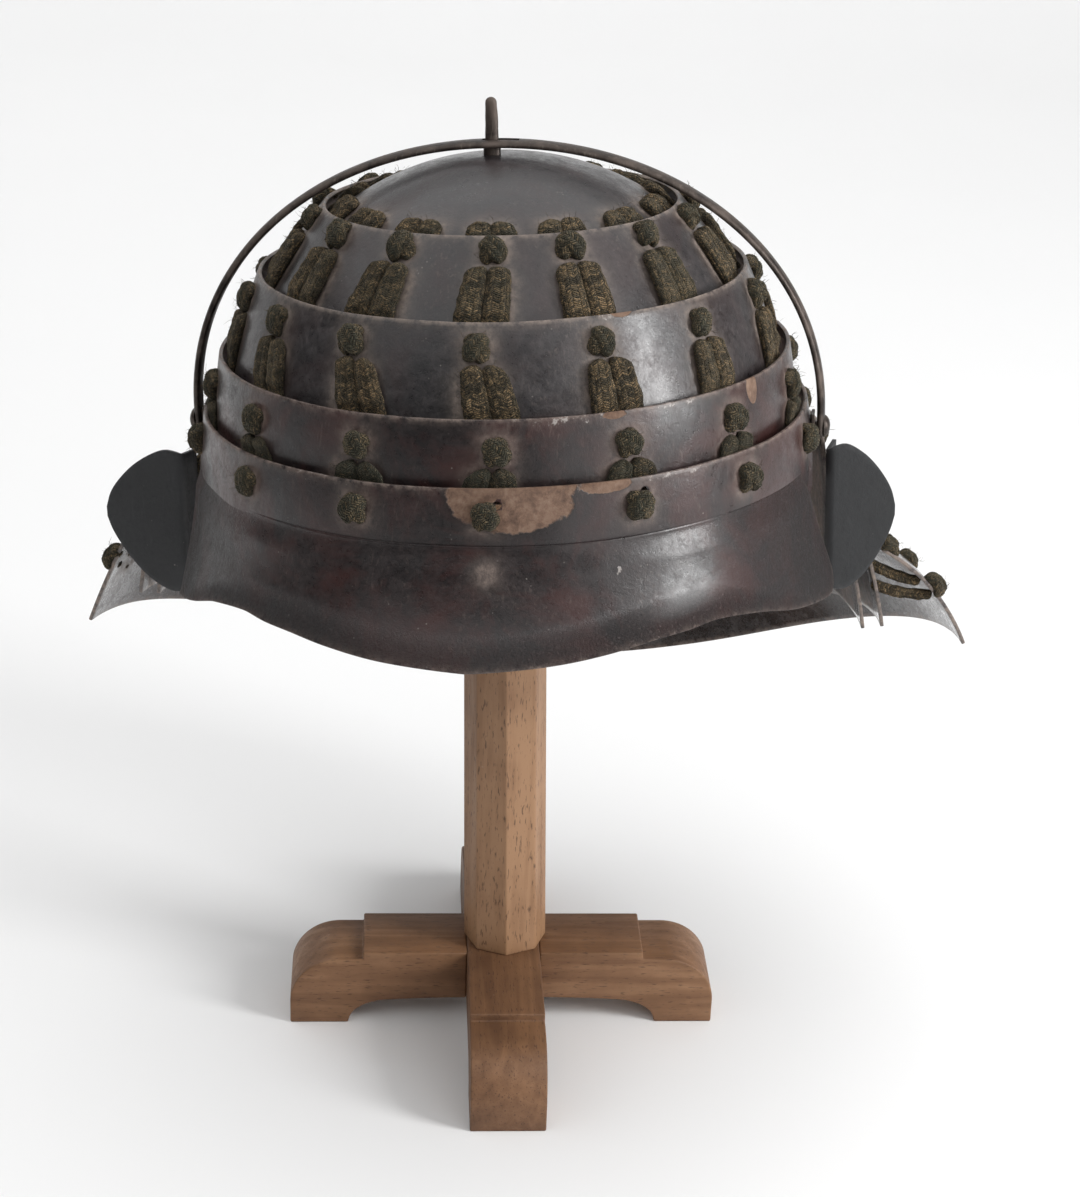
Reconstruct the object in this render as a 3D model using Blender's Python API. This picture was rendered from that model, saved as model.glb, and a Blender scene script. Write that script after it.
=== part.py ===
"""Laced folding helmet of lacquered iron rings, with neck guard and carrying strap, on a wooden stand.

Metres, +Z up, the helmet faces -Y. The helmet is built upright about its own axis, with height 0 at the
top rim of its lowest ring, and is then seated, leaning a little, on the stand's post.
"""
import math

import bmesh
import bpy
from mathutils import Euler, Matrix, Vector

# Bowl: the half width is that of the lowest ring's rim, the height is from that rim to the crown.
BOWL_HALF_WIDTH = 0.1154
BOWL_HEIGHT = 0.0925
BOWL_OVAL = 1.05            # depth over width
WALL = 0.0015
RING_OVERLAP = 0.007
BAND_HEIGHT = 0.034         # lowest ring
BAND_SPREAD = 0.0026
BULGE = 0.02                # swell of a plate's profile over its length
BULGE_PER_ROW = 0.03        # how much swell one row of faces takes
CROWN_ROWS = (0.125, 0.25, 0.375, 0.5)

# Clearances.
CLEAR = 0.0003
LACE_CLEAR = 0.0004
NECK_SLOT_EASE = 0.0009     # the neck plates' slots are skewed by their slope
NECK_SEAT_DROP = 0.016      # where the first neck plate meets the lowest ring

# Lacing: flat pairs of cords, drawn together in a knot over each slot.
COLUMNS = 14
FIRST_COLUMN = math.radians(2.5)
PAIR_WIDTH = 0.0162
LACE_THICK = 0.0023
KNOT_WIDTH = 0.0092
KNOT_HEIGHT = 0.0085
KNOT_PROUD = 0.0042
SLOT_DROP = 0.0052          # from a rim to the middle of its slots
CROWN_SLOT_LIFT = 0.013     # from the crown plate's edge up to its slots
TIGHTEST_TURN = 0.55        # smallest laced rim over the bowl's half width

# Peak in front.
PEAK_DROP = 0.085
PEAK_TURN = math.radians(88)
PEAK_SLANT = 0.15           # how much sooner the peak ends at its upper edge
PEAK_LEFT_SAG = 0.045       # how much lower its left end hangs than its right, as a share of its drop
PEAK_SAG_START = 0.6
PEAK_LAP = 0.020            # height of its upper edge below the rim
PEAK_FLARE_SIDE = 0.0118
PEAK_FLARE_FRONT = 0.0336
PEAK_CURVE = 1.6

# Neck guard behind.
GUARD_HALF_WIDTH = 0.181
GUARD_DROP = 0.172
GUARD_TURN = math.radians(95)
EAR_TURN = math.radians(95)

# Ears: turned back ends of the first neck plate.
EAR_HEIGHT = 0.0584
EAR_BEND = 0.003
EAR_SWEEP = math.radians(12)
EAR_FOOT_REST = 0.009

# Strap over the bowl and the post it is keyed on.
STRAP_SIDE_GAP = 0.0049
STRAP_TOP_GAP = 0.0088
STRAP_HALF_SPAN = BOWL_HALF_WIDTH + STRAP_SIDE_GAP
STRAP_RISE = BOWL_HEIGHT + STRAP_TOP_GAP
STRAP_FOOT = 0.011          # pivot height below the rim
STRAP_CENTRE = 0.005        # centre of the arch below the rim
STRAP_FULLNESS = 0.97       # 1 is an ellipse, less is squarer at the shoulders
STRAP_WIDTH = 0.0085
STRAP_THICK = 0.0024
STRAP_EYE = 0.0105
STRAP_EYE_ANGLE = 0.22
STRAP_TOE = 0.5
SLOT_LENGTH = 0.014
RIVET_HEAD_RADIUS = 0.0043
RIVET_HEAD = 0.0022
RIVET_CROWN = 0.7
RIVET_HOLE_LENGTH = 0.03
RIVET_SHANK_RADIUS = 0.0016
BRACKET_WIDTH = 0.0095
POST_WIDTH = 0.0048
POST_DEPTH = 0.003
POST_RISE = 0.0215
POST_OFFSET = -0.0033

# How the helmet sits on its stand.
TIP_BACK = math.radians(6.3)
LEAN = math.radians(-3.4)
SEAT_OFFSET = -0.0053
RIM_HEIGHT = 0.2823

# Wooden stand.
LEG_LENGTH = 0.180
LEG_WIDTH = 0.0308
BLOCK_LENGTH = 0.1183
BLOCK_HEIGHT = 0.0353
STEP = 0.0034
FOOT_LENGTH = 0.0245
ARCH_HEIGHT = 0.0127
END_ROUND = 0.021
STAND_TURN = math.radians(8.27)
STAND_POST_WIDTH = 0.0350
STAND_POST_TOP_WIDTH = 0.0318
STAND_POST_FOOT = 0.001     # the post's foot is a little off the middle, and it leans
STAND_POST_LEAN = -0.0255

LACE_BOW = PAIR_WIDTH ** 2 / (8 * TIGHTEST_TURN * BOWL_HALF_WIDTH)
RING_GAP = LACE_THICK + 2 * LACE_CLEAR + LACE_BOW
PITCH = 2 * math.pi / COLUMNS
SLOT_HEIGHT = LACE_THICK + 2 * LACE_CLEAR

MATERIALS = {
    "lacquer_dark": ((0.035, 0.033, 0.034), 0.28, 0.25),
    "lacquer_brown": ((0.060, 0.036, 0.032), 0.33, 0.2),
    "lacquer_matt": ((0.045, 0.046, 0.047), 0.6, 0.1),
    "iron": ((0.075, 0.062, 0.056), 0.6, 0.7),
    "lace": ((0.115, 0.090, 0.045), 0.9, 0.0),
    "wood": ((0.30, 0.155, 0.075), 0.55, 0.0),
}

# Rims of the bowl's rings: share of the half width, share of the bowl's height.
RING_RIMS = {
    "lame_2": (0.577, 0.827),
    "lame_3": (0.797, 0.564),
    "lame_4": (0.938, 0.240),
    "lame_5": (1.0, 0.0),
}

# Neck plates: rim and lower edge, each at the front ends and at the back, as shares of the guard's
# half width and of its drop, then the swell at the ends, and the slots' drop as a share of a ring's.
NECK_PLATES = {
    "neck_lame_1": (None, (0.702, 0.407), None, (0.724, 0.372), 0.02, 1.0),
    "neck_lame_2": ((0.732, 0.337), (0.776, 0.570), (0.755, 0.326), (0.790, 0.581), 0.02, 1.45),
    "neck_lame_3": ((0.774, 0.360), (0.818, 0.564), (0.821, 0.523), (0.851, 0.791), 0.02, 1.85),
    "neck_lame_4": ((0.812, 0.372), (1.000, 0.606), (0.881, 0.733), (0.895, 1.0), 0.09, 3.1),
}

# Their left front ends, bent otherwise than the right ones: rim, lower edge and swell.
NECK_LEFT_ENDS = {
    "neck_lame_2": ((0.768, 0.284), (0.812, 0.517), 0.02),
    "neck_lame_3": ((0.811, 0.313), (0.855, 0.517), 0.02),
    "neck_lame_4": ((0.868, 0.357), (0.979, 0.590), 0.01),
}

# Side view of the arch under a leg: shares of its half span and of its height.
ARCH_OUTLINE = ((0.0, 1.0), (0.45, 0.96), (0.72, 0.90), (0.807, 0.856), (0.885, 0.728), (0.947, 0.529),
                (0.986, 0.278), (1.0, 0.0))

# Lower edge of the peak: share of its turn from the middle, share of its drop.
PEAK_EDGE = ((0.0, 0.706), (0.085, 0.694), (0.17, 0.682), (0.255, 0.664), (0.34, 0.645), (0.41, 0.639),
             (0.48, 0.632), (0.59, 0.67), (0.70, 0.735), (0.80, 0.785), (0.87, 0.82), (0.93, 0.842),
             (0.965, 0.838), (0.988, 0.815), (1.0, 0.775))
PEAK_ROWS = (0, 0.25, 0.5, 0.75, 1)

# Ear outline: share of its reach, top and foot as shares of its height.
EAR_OUTLINE = ((0.0, 0.04, 0.95), (0.13, 0.012, 0.99), (0.30, 0.0, 1.0), (0.50, 0.052, 0.94),
               (0.68, 0.13, 0.84), (0.85, 0.24, 0.70), (0.95, 0.335, 0.59), (1.0, 0.43, 0.50))

# Each ear: side, reach from the helmet's axis, height of its top below the rim, and how far its fold
# lies inwards of the neck plate's end.
EARS = {"ear_left": (-1, 0.1622, 0.0246, -0.0015), "ear_right": (1, 0.1501, 0.0184, 0.0032)}


def clear_scene():
    for thing in list(bpy.data.objects):
        bpy.data.objects.remove(thing, do_unlink=True)


def make_material(name):
    colour, roughness, metallic = MATERIALS[name]
    material = bpy.data.materials.new(name)
    material.use_nodes = True
    shader = material.node_tree.nodes["Principled BSDF"]
    shader.inputs["Base Color"].default_value = (*colour, 1)
    shader.inputs["Roughness"].default_value = roughness
    shader.inputs["Metallic"].default_value = metallic
    material.diffuse_color = (*colour, 1)
    return material


def add_object(name, bm, material, parent, smooth=True):
    """Turn a bmesh into a named object under its parent."""
    bmesh.ops.recalc_face_normals(bm, faces=bm.faces)
    mesh = bpy.data.meshes.new(name)
    bm.to_mesh(mesh)
    bm.free()
    mesh.materials.append(material)
    if smooth:
        mesh.shade_smooth()
        mesh.set_sharp_from_angle(angle=math.radians(35))
    thing = bpy.data.objects.new(name, mesh)
    bpy.context.collection.objects.link(thing)
    thing.parent = parent
    return thing


def add_wall(thing, thickness=WALL):
    solidify = thing.modifiers.new("wall", "SOLIDIFY")
    solidify.thickness = thickness
    solidify.offset = -1
    solidify.use_even_offset = True


def cut_with(thing, cutter):
    boolean = thing.modifiers.new("cut", "BOOLEAN")
    boolean.operation = "DIFFERENCE"
    boolean.solver = "EXACT"
    boolean.object = cutter


def add_cutter(name, bm, parent):
    cutter = add_object(name, bm, None, parent, smooth=False)
    cutter.hide_render = True
    cutter.display_type = "WIRE"
    return cutter


def mix(first, second, share):
    return tuple(p + (q - p) * share for p, q in zip(first, second))


def table_value(table, share, column=1):
    """Straight interpolation in a table whose first column rises."""
    for low, high in zip(table, table[1:]):
        if share <= high[0]:
            span = (share - low[0]) / (high[0] - low[0])
            return low[column] + (high[column] - low[column]) * span
    return table[-1][column]


def around(turn, half_width, height):
    """A point at a turn from straight ahead, positive towards +X."""
    return Vector((half_width * math.sin(turn), -BOWL_OVAL * half_width * math.cos(turn), height))


class Plate:
    """A ring or neck plate: its profile runs from the rim down to its lower edge."""

    def __init__(self, rim, foot, rim_back=None, foot_back=None, bulge=BULGE, slot_drop=SLOT_DROP,
                 left_ends=None):
        self.ends = (rim, foot, bulge)
        self.left_ends = left_ends or self.ends
        self.back = (rim_back or rim, foot_back or foot, BULGE)
        self.slot_drop = slot_drop
        self.rows_below = max(1, round(bulge / BULGE_PER_ROW))

    def line(self, turn):
        share = math.sin(max(abs(turn) - math.pi / 2, 0)) ** 2
        ends = self.left_ends if turn < 0 else self.ends
        rim = mix(ends[0], self.back[0], share)
        foot = mix(ends[1], self.back[1], share)
        return rim, foot, ends[2] + (self.back[2] - ends[2]) * share

    def length(self, turn):
        rim, foot, _ = self.line(turn)
        return math.dist(rim, foot)

    def section(self, turn, drop, proud=0.0):
        """Half width and height at a drop along the profile, proud of the outer face."""
        rim, foot, bulge = self.line(turn)
        length = math.dist(rim, foot)
        down = ((foot[0] - rim[0]) / length, (foot[1] - rim[1]) / length)
        out = (-down[1], down[0])
        share = drop / length
        swell = 4 * bulge * length * share * (1 - share)
        lift = swell + proud
        return rim[0] + down[0] * drop + out[0] * lift, rim[1] + down[1] * drop + out[1] * lift

    def point(self, turn, drop, proud=0.0):
        return around(turn, *self.section(turn, drop, proud))


class Dome(Plate):
    """The crown plate: an arc of a circle from the apex down to its edge."""

    rows_below = 1

    def __init__(self, apex, edge):
        fall = apex - edge[1]
        self.radius = (edge[0] ** 2 + fall ** 2) / (2 * fall)
        self.centre = apex - self.radius
        self.arc = self.radius * math.asin(edge[0] / self.radius)

    def length(self, turn):
        return self.arc

    def section(self, turn, drop, proud=0.0):
        angle = drop / self.radius
        reach = self.radius + proud
        return reach * math.sin(angle), self.centre + reach * math.cos(angle)


def inner_seat(plate, gap, drop):
    """A point inside a ring's wall, for the edge of the plate above it."""
    return plate.section(0, drop, -(WALL + gap))


def bowl_plates():
    """The crown and the rings, each lower edge tucked inside the next ring's rim."""
    rims = {name: (width * BOWL_HALF_WIDTH, height * BOWL_HEIGHT)
            for name, (width, height) in RING_RIMS.items()}
    rim = rims["lame_5"]
    plates = {"lame_5": Plate(rim, (rim[0] + BAND_SPREAD, rim[1] - BAND_HEIGHT))}
    names = list(RING_RIMS)
    for upper, lower in zip(names[-2::-1], names[:0:-1]):
        plates[upper] = Plate(rims[upper], inner_seat(plates[lower], RING_GAP, RING_OVERLAP))
    plates["top_plate"] = Dome(BOWL_HEIGHT, inner_seat(plates["lame_2"], RING_GAP, RING_OVERLAP))
    return plates


def neck_plates(band):
    """The neck guard: the first plate's rim lies outside the bowl's lowest ring."""
    def size(shares):
        return shares[0] * GUARD_HALF_WIDTH, -shares[1] * GUARD_DROP
    plates = {}
    for name, (rim, foot, rim_back, foot_back, bulge, slot_share) in NECK_PLATES.items():
        seat = band.section(0, NECK_SEAT_DROP, RING_GAP + WALL)
        left = NECK_LEFT_ENDS.get(name)
        plates[name] = Plate(size(rim) if rim else seat, size(foot),
                             size(rim_back) if rim_back else seat, size(foot_back),
                             bulge, slot_share * SLOT_DROP,
                             left and (size(left[0]), size(left[1]), left[2]))
    return plates


def column_turns():
    turns = [FIRST_COLUMN + index * PITCH for index in range(COLUMNS)]
    return [turn - 2 * math.pi if turn > math.pi else turn for turn in turns]


def back_turn(turn):
    """The same turn counted through the back, from 0 to a full circle."""
    return turn % (2 * math.pi)


def slot_middle(plate, turn):
    if isinstance(plate, Dome):
        return plate.length(turn) - CROWN_SLOT_LIFT
    return plate.slot_drop


def sheet_with_slots(name, plate, material, parent, span=None):
    """A ring, or a plate over the span from one turn to another, with a slot for each column."""
    ease = NECK_SLOT_EASE if span else CLEAR
    half_slot = (KNOT_WIDTH / 2 + ease) / plate.section(0, slot_middle(plate, 0))[0]
    centres = sorted(back_turn(turn) for turn in column_turns())
    if span:
        centres = [turn for turn in centres if span[0] < turn < span[1]]
    stations = []
    for index, turn in enumerate(centres):
        following = centres[(index + 1) % len(centres)]
        stations += [turn - half_slot, turn + half_slot]
        if index + 1 < len(centres) or not span:
            stations.append(turn + ((following - turn) % (2 * math.pi)) / 2)
    if span:
        stations = [span[0]] + stations + [span[1]]
    bm = bmesh.new()
    rows = []
    for turn in stations:
        local = turn if turn <= math.pi else turn - 2 * math.pi
        middle = slot_middle(plate, local)
        top = middle - SLOT_HEIGHT / 2 - ease
        low = middle + SLOT_HEIGHT / 2 + ease
        length = plate.length(local)
        above = [length * share for share in CROWN_ROWS] if isinstance(plate, Dome) else [0]
        below = [low + (length - low) * step / plate.rows_below for step in range(1, plate.rows_below + 1)]
        rows.append([bm.verts.new(plate.point(local, drop)) for drop in (*above, top, low, *below)])
    slot_row = len(above)
    pairs = list(zip(range(len(rows)), list(range(1, len(rows))) + [0]))
    if span:
        pairs.pop()
    for first, second in pairs:
        left, right = stations[first], stations[second]
        is_slot = any(abs((left + half_slot - centre)) < 1e-6 for centre in centres)
        for row in range(len(rows[0]) - 1):
            if is_slot and row == slot_row:
                continue
            bm.faces.new((rows[first][row], rows[first][row + 1],
                          rows[second][row + 1], rows[second][row]))
    if isinstance(plate, Dome):
        apex = bm.verts.new(plate.point(0, 0))
        for first, second in pairs:
            bm.faces.new((apex, rows[first][0], rows[second][0]))
    thing = add_object(name, bm, material, parent)
    add_wall(thing)
    return thing


def lace_bars(plates, turn):
    """Cross bars of a column: plate, drops and prouds of the inner and outer edge, half width."""
    inside = -(WALL + LACE_CLEAR)
    bars = []
    for index, plate in enumerate(plates):
        middle = slot_middle(plate, turn)
        top, low = middle - LACE_THICK / 2, middle + LACE_THICK / 2
        following = plates[index + 1] if index + 1 < len(plates) else None
        room = rim_drop(plate, following, turn) if following else plate.length(turn)
        knot_foot = top + KNOT_HEIGHT
        shown = room > knot_foot + LACE_THICK
        rim_below = room > low
        bulk = KNOT_PROUD if shown and index else LACE_THICK
        half = KNOT_WIDTH / 2
        if index and rim_below:
            bars.append((plate, 0.0, inside - LACE_THICK, 0.0, inside, bars[-1][5]))
        bars.append((plate, low, inside - LACE_THICK, top, inside, half))
        bars.append((plate, low, LACE_CLEAR, top, LACE_CLEAR + bulk, half))
        if shown:
            bars.append((plate, knot_foot, LACE_CLEAR, knot_foot, LACE_CLEAR + bulk, half))
        if following and shown:
            wide = PAIR_WIDTH / 2
            start = knot_foot + LACE_THICK / 2
            bars.append((plate, start, LACE_CLEAR, start, LACE_CLEAR + LACE_THICK, wide))
            bars.append((plate, room, LACE_CLEAR, room, LACE_CLEAR + LACE_THICK, wide))
        elif not following and not shown:
            bars.append((plate, knot_foot, LACE_CLEAR, knot_foot, LACE_CLEAR + bulk, half))
    return bars


def rim_drop(plate, following, turn):
    """How far down a plate the next plate's rim lies."""
    rim = following.section(turn, 0)
    steps = 200
    drops = [plate.length(turn) * step / steps for step in range(steps + 1)]
    return min(drops, key=lambda drop: math.dist(plate.section(turn, drop), rim))


def make_lacing(name, plates, turn, material, parent):
    """One column of lacing, from the crown down, as a closed ribbon."""
    bm = bmesh.new()
    rings = []
    for plate, inner_drop, inner_proud, outer_drop, outer_proud, half in lace_bars(plates, turn):
        ring = []
        for drop, proud, sides in ((inner_drop, inner_proud, (-1, 1)), (outer_drop, outer_proud, (1, -1))):
            angle = half / plate.section(turn, drop, proud)[0]
            bow = 1 / math.cos(angle) if inner_proud > 0 else 1
            for side in sides:
                half_width, height = plate.section(turn + side * angle, drop, proud)
                ring.append(around(turn + side * angle, half_width * bow, height))
        rings.append([bm.verts.new(corner) for corner in ring])
    for upper, lower in zip(rings, rings[1:]):
        for side in range(4):
            after = (side + 1) % 4
            bm.faces.new((upper[side], upper[after], lower[after], lower[side]))
    bm.faces.new(rings[0])
    bm.faces.new(reversed(rings[-1]))
    return add_object(name, bm, material, parent)


def peak_section(turn, height, band):
    """Half width of the peak's outer face at a turn and a height."""
    start = band.section(0, PEAK_LAP, CLEAR + WALL)[0]
    flare = PEAK_FLARE_SIDE + (PEAK_FLARE_FRONT - PEAK_FLARE_SIDE) * math.cos(turn) ** 2
    depth = (-PEAK_LAP - height) / (PEAK_DROP - PEAK_LAP)
    return start + flare * depth ** PEAK_CURVE


def make_peak(band, material, parent):
    bm = bmesh.new()
    shares = sorted({sign * share for share, _ in PEAK_EDGE for sign in (-1, 1)})
    columns = []
    for share in shares:
        sag = PEAK_LEFT_SAG * max(-share - PEAK_SAG_START, 0) / (1 - PEAK_SAG_START)
        edge = -PEAK_DROP * (table_value(PEAK_EDGE, abs(share)) + sag)
        column = []
        for row in PEAK_ROWS:
            turn = share * PEAK_TURN * (1 - PEAK_SLANT * (1 - row))
            height = -PEAK_LAP + (edge + PEAK_LAP) * row
            column.append(bm.verts.new(around(turn, peak_section(turn, height, band), height)))
        columns.append(column)
    for left, right in zip(columns, columns[1:]):
        for row in range(len(PEAK_ROWS) - 1):
            bm.faces.new((left[row], left[row + 1], right[row + 1], right[row]))
    thing = add_object("peak", bm, material, parent)
    add_wall(thing)


def make_ear(name, neck_plate, material, parent):
    """A plate that leaves the neck plate's front end, bends outwards and ends in a rounded wing."""
    side, reach, top, inset = EARS[name]
    turn = EAR_TURN
    start = neck_plate.point(turn, EAR_HEIGHT / 2)
    forward = Vector((math.cos(turn), BOWL_OVAL * math.sin(turn), 0)).normalized()
    origin = start - forward * CLEAR
    path = [origin, origin - forward * EAR_FOOT_REST - Vector((inset, 0, 0))]
    bend_centre = path[-1] + Vector((EAR_BEND, 0, 0))
    quarter = math.radians(90) + EAR_SWEEP
    for step in range(1, 4):
        angle = math.pi + quarter * step / 3
        path.append(bend_centre + EAR_BEND * Vector((math.cos(angle), math.sin(angle), 0)))
    last = path[-1]
    out = Vector((math.cos(EAR_SWEEP), math.sin(EAR_SWEEP), 0))
    run = (reach - last.x) / out.x
    path += [last + out * run * share for share in (0.25, 0.5, 0.72, 0.88, 1.0)]
    fold = min(spot.x for spot in path)
    bm = bmesh.new()
    columns = []
    for spot in path:
        share = (spot.x - fold) / (reach - fold)
        high = -top - EAR_HEIGHT * table_value(EAR_OUTLINE, share, 1)
        low = -top - EAR_HEIGHT * table_value(EAR_OUTLINE, share, 2)
        columns.append([bm.verts.new((side * spot.x, spot.y, high + (low - high) * row))
                        for row in (0, 0.5, 1)])
    for left, right in zip(columns, columns[1:]):
        for row in range(2):
            bm.faces.new((left[row], left[row + 1], right[row + 1], right[row]))
    thing = add_object(name, bm, material, parent)
    add_wall(thing)


def bar(bm, size, place):
    """A box of a size at a place."""
    made = bmesh.ops.create_cube(bm, size=1)["verts"]
    bmesh.ops.scale(bm, verts=made, vec=size)
    bmesh.ops.translate(bm, verts=made, vec=place)
    return made


def disc(bm, radius, length, place, sides=12, crown=None):
    """A round bar along X, its outer end at +X, which may be narrower."""
    made = bmesh.ops.create_cone(bm, cap_ends=True, segments=sides, radius1=radius,
                                 radius2=crown or radius, depth=length)["verts"]
    bmesh.ops.rotate(bm, verts=made, cent=(0, 0, 0), matrix=Matrix.Rotation(math.pi / 2, 3, "Y"))
    bmesh.ops.translate(bm, verts=made, vec=place)
    return made


def strap_point(angle, proud):
    """The strap's arch in the XZ plane, angle 0 at the top, proud of its middle line."""
    across = math.copysign(abs(math.sin(angle)) ** STRAP_FULLNESS, angle)
    up = max(math.cos(angle), 0) ** STRAP_FULLNESS
    return (STRAP_HALF_SPAN + proud) * across, (STRAP_RISE + proud) * up - STRAP_CENTRE


def make_strap(material, parent):
    """The arch, straight at its feet, wider at the eye on top."""
    bm = bmesh.new()
    steps = 24
    stations = []
    for step in range(steps + 1):
        angle = math.pi / 2 * (2 * step / steps - 1)
        eye = max(0, 1 - abs(angle) / STRAP_EYE_ANGLE)
        half = STRAP_WIDTH / 2 + (STRAP_EYE - STRAP_WIDTH) / 2 * min(1, 2 * eye)
        stations.append((strap_point(angle, -STRAP_THICK / 2), strap_point(angle, STRAP_THICK / 2), half))
    foot = -STRAP_FOOT - STRAP_WIDTH / 2
    feet = [[((inner[0], height), (outer[0], height), width)
             for height, width in ((-STRAP_FOOT, half), (foot, half * STRAP_TOE))]
            for inner, outer, half in (stations[0], stations[-1])]
    stations = feet[0][::-1] + stations + feet[1]
    rings = []
    for inner, outer, half in stations:
        corners = ((inner[0], -half, inner[1]), (outer[0], -half, outer[1]),
                   (outer[0], half, outer[1]), (inner[0], half, inner[1]))
        rings.append([bm.verts.new(corner) for corner in corners])
    for first, second in zip(rings, rings[1:]):
        for corner in range(4):
            after = (corner + 1) % 4
            bm.faces.new((first[corner], first[after], second[after], second[corner]))
    bm.faces.new(rings[0])
    bm.faces.new(reversed(rings[-1]))
    strap = add_object("strap", bm, material, parent, smooth=False)
    slot = bmesh.new()
    bar(slot, (SLOT_LENGTH, POST_DEPTH + 2 * CLEAR, 4 * STRAP_THICK), (0, 0, STRAP_RISE - STRAP_CENTRE))
    cut_with(strap, add_cutter("slot_cutter", slot, parent))
    return strap


def make_strap_fastening(side, name, band, strap, lame, material, parent):
    """Bracket between the ring and the strap's foot, and the rivet through them."""
    inner = band.section(math.pi / 2, STRAP_FOOT, CLEAR)[0]
    outer = STRAP_HALF_SPAN - STRAP_THICK / 2 - CLEAR
    bm = bmesh.new()
    bar(bm, (outer - inner, BRACKET_WIDTH, BRACKET_WIDTH),
        (side * (inner + outer) / 2, 0, -STRAP_FOOT))
    bracket = add_object("strap_bracket_" + name, bm, material, parent, smooth=False)
    hole = bmesh.new()
    disc(hole, RIVET_SHANK_RADIUS + CLEAR, RIVET_HOLE_LENGTH, (side * inner, 0, -STRAP_FOOT))
    cutter = add_cutter("rivet_hole_" + name, hole, parent)
    for thing in (bracket, strap, lame):
        cut_with(thing, cutter)
    face = STRAP_HALF_SPAN + STRAP_THICK / 2 + CLEAR
    shank_end = band.section(math.pi / 2, STRAP_FOOT, -WALL - RIVET_HEAD / 2)[0]
    rivet = bmesh.new()
    disc(rivet, RIVET_SHANK_RADIUS, face + RIVET_HEAD / 2 - shank_end,
         (side * (face + RIVET_HEAD / 2 + shank_end) / 2, 0, -STRAP_FOOT))
    head = bmesh.new()
    disc(head, RIVET_HEAD_RADIUS, RIVET_HEAD, (face + RIVET_HEAD / 2, 0, -STRAP_FOOT),
         crown=RIVET_HEAD_RADIUS * RIVET_CROWN)
    if side < 0:
        bmesh.ops.scale(head, verts=head.verts, vec=(-1, 1, 1))
    shank = add_object("strap_rivet_" + name, rivet, material, parent)
    cap = add_cutter("rivet_head_" + name, head, parent)
    union = shank.modifiers.new("head", "BOOLEAN")
    union.operation = "UNION"
    union.solver = "EXACT"
    union.object = cap


def make_top_post(crown, material, parent):
    """Flat upright bar with a rounded top, standing on the crown and through the strap's eye."""
    foot = crown.section(0, abs(POST_OFFSET), 0)[1] + CLEAR
    height = BOWL_HEIGHT + POST_RISE - foot
    radius = POST_WIDTH / 2
    outline = [(-radius, 0), (radius, 0)]
    outline += [(radius * math.cos(angle), height - radius + radius * math.sin(angle))
                for angle in (math.radians(30 * step) for step in range(7))]
    bm = bmesh.new()
    verts = [bm.verts.new((POST_OFFSET + x, -POST_DEPTH / 2, foot + z)) for x, z in outline]
    face = bm.faces.new(verts)
    grown = bmesh.ops.extrude_face_region(bm, geom=[face])["geom"]
    bmesh.ops.translate(bm, verts=[item for item in grown if isinstance(item, bmesh.types.BMVert)],
                        vec=(0, POST_DEPTH, 0))
    add_object("top_post", bm, material, parent)


def leg_outline():
    """Half of a leg's side view, from the middle of its underside round to the middle of its top."""
    half = LEG_LENGTH / 2
    inner = half - FOOT_LENGTH
    shoulder = BLOCK_HEIGHT - STEP
    reach = min(END_ROUND, half - BLOCK_LENGTH / 2)
    points = [(inner * along, ARCH_HEIGHT * up) for along, up in ARCH_OUTLINE]
    points += [(half, 0)]
    points += [(half - reach + reach * math.cos(angle), shoulder - END_ROUND + END_ROUND * math.sin(angle))
               for angle in (math.radians(18 * step) for step in range(6))]
    points += [(BLOCK_LENGTH / 2, shoulder), (BLOCK_LENGTH / 2, BLOCK_HEIGHT), (0, BLOCK_HEIGHT)]
    return points


def leg_mesh():
    half = leg_outline()
    outline = half + [(-x, z) for x, z in half[-2:0:-1]]
    bm = bmesh.new()
    face = bm.faces.new([bm.verts.new((x, -LEG_WIDTH / 2, z)) for x, z in outline])
    grown = bmesh.ops.extrude_face_region(bm, geom=[face])["geom"]
    bmesh.ops.translate(bm, verts=[item for item in grown if isinstance(item, bmesh.types.BMVert)],
                        vec=(0, LEG_WIDTH, 0))
    return bm


def make_stand(crown, seat, material, parent):
    """A cross of two legs, and an eight-sided post that reaches up inside the crown."""
    base = add_object("stand_base", leg_mesh(), material, parent, smooth=False)
    base.rotation_euler.z = STAND_TURN
    cross = add_cutter("cross_leg", leg_mesh(), parent)
    cross.rotation_euler.z = STAND_TURN + math.pi / 2
    union = base.modifiers.new("cross", "BOOLEAN")
    union.operation = "UNION"
    union.solver = "EXACT"
    union.object = cross

    radius = crown.radius - WALL
    centre = seat @ Vector((0, 0, crown.centre))
    foot = BLOCK_HEIGHT + CLEAR
    lean = Vector((STAND_POST_LEAN * (centre.z + radius - foot), 0, 0))
    corners = [Matrix.Rotation(STAND_TURN + math.pi / 4 * step, 3, "Z")
               @ Vector((STAND_POST_TOP_WIDTH / 2, 0, 0)) + lean for step in range(8)]
    top = min(centre.z + math.sqrt(radius ** 2 - (spot.x - centre.x) ** 2 - (spot.y - centre.y) ** 2)
              for spot in corners) - CLEAR
    bm = bmesh.new()
    bmesh.ops.create_cone(bm, cap_ends=True, segments=8, radius1=STAND_POST_WIDTH / 2,
                          radius2=STAND_POST_TOP_WIDTH / 2, depth=top - foot)
    bmesh.ops.rotate(bm, verts=bm.verts, cent=(0, 0, 0), matrix=Matrix.Rotation(STAND_TURN, 3, "Z"))
    bmesh.ops.translate(bm, verts=[vertex for vertex in bm.verts if vertex.co.z > 0], vec=lean)
    bmesh.ops.translate(bm, verts=bm.verts, vec=(STAND_POST_FOOT, 0, (top + foot) / 2))
    add_object("stand_post", bm, material, parent, smooth=False)


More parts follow.
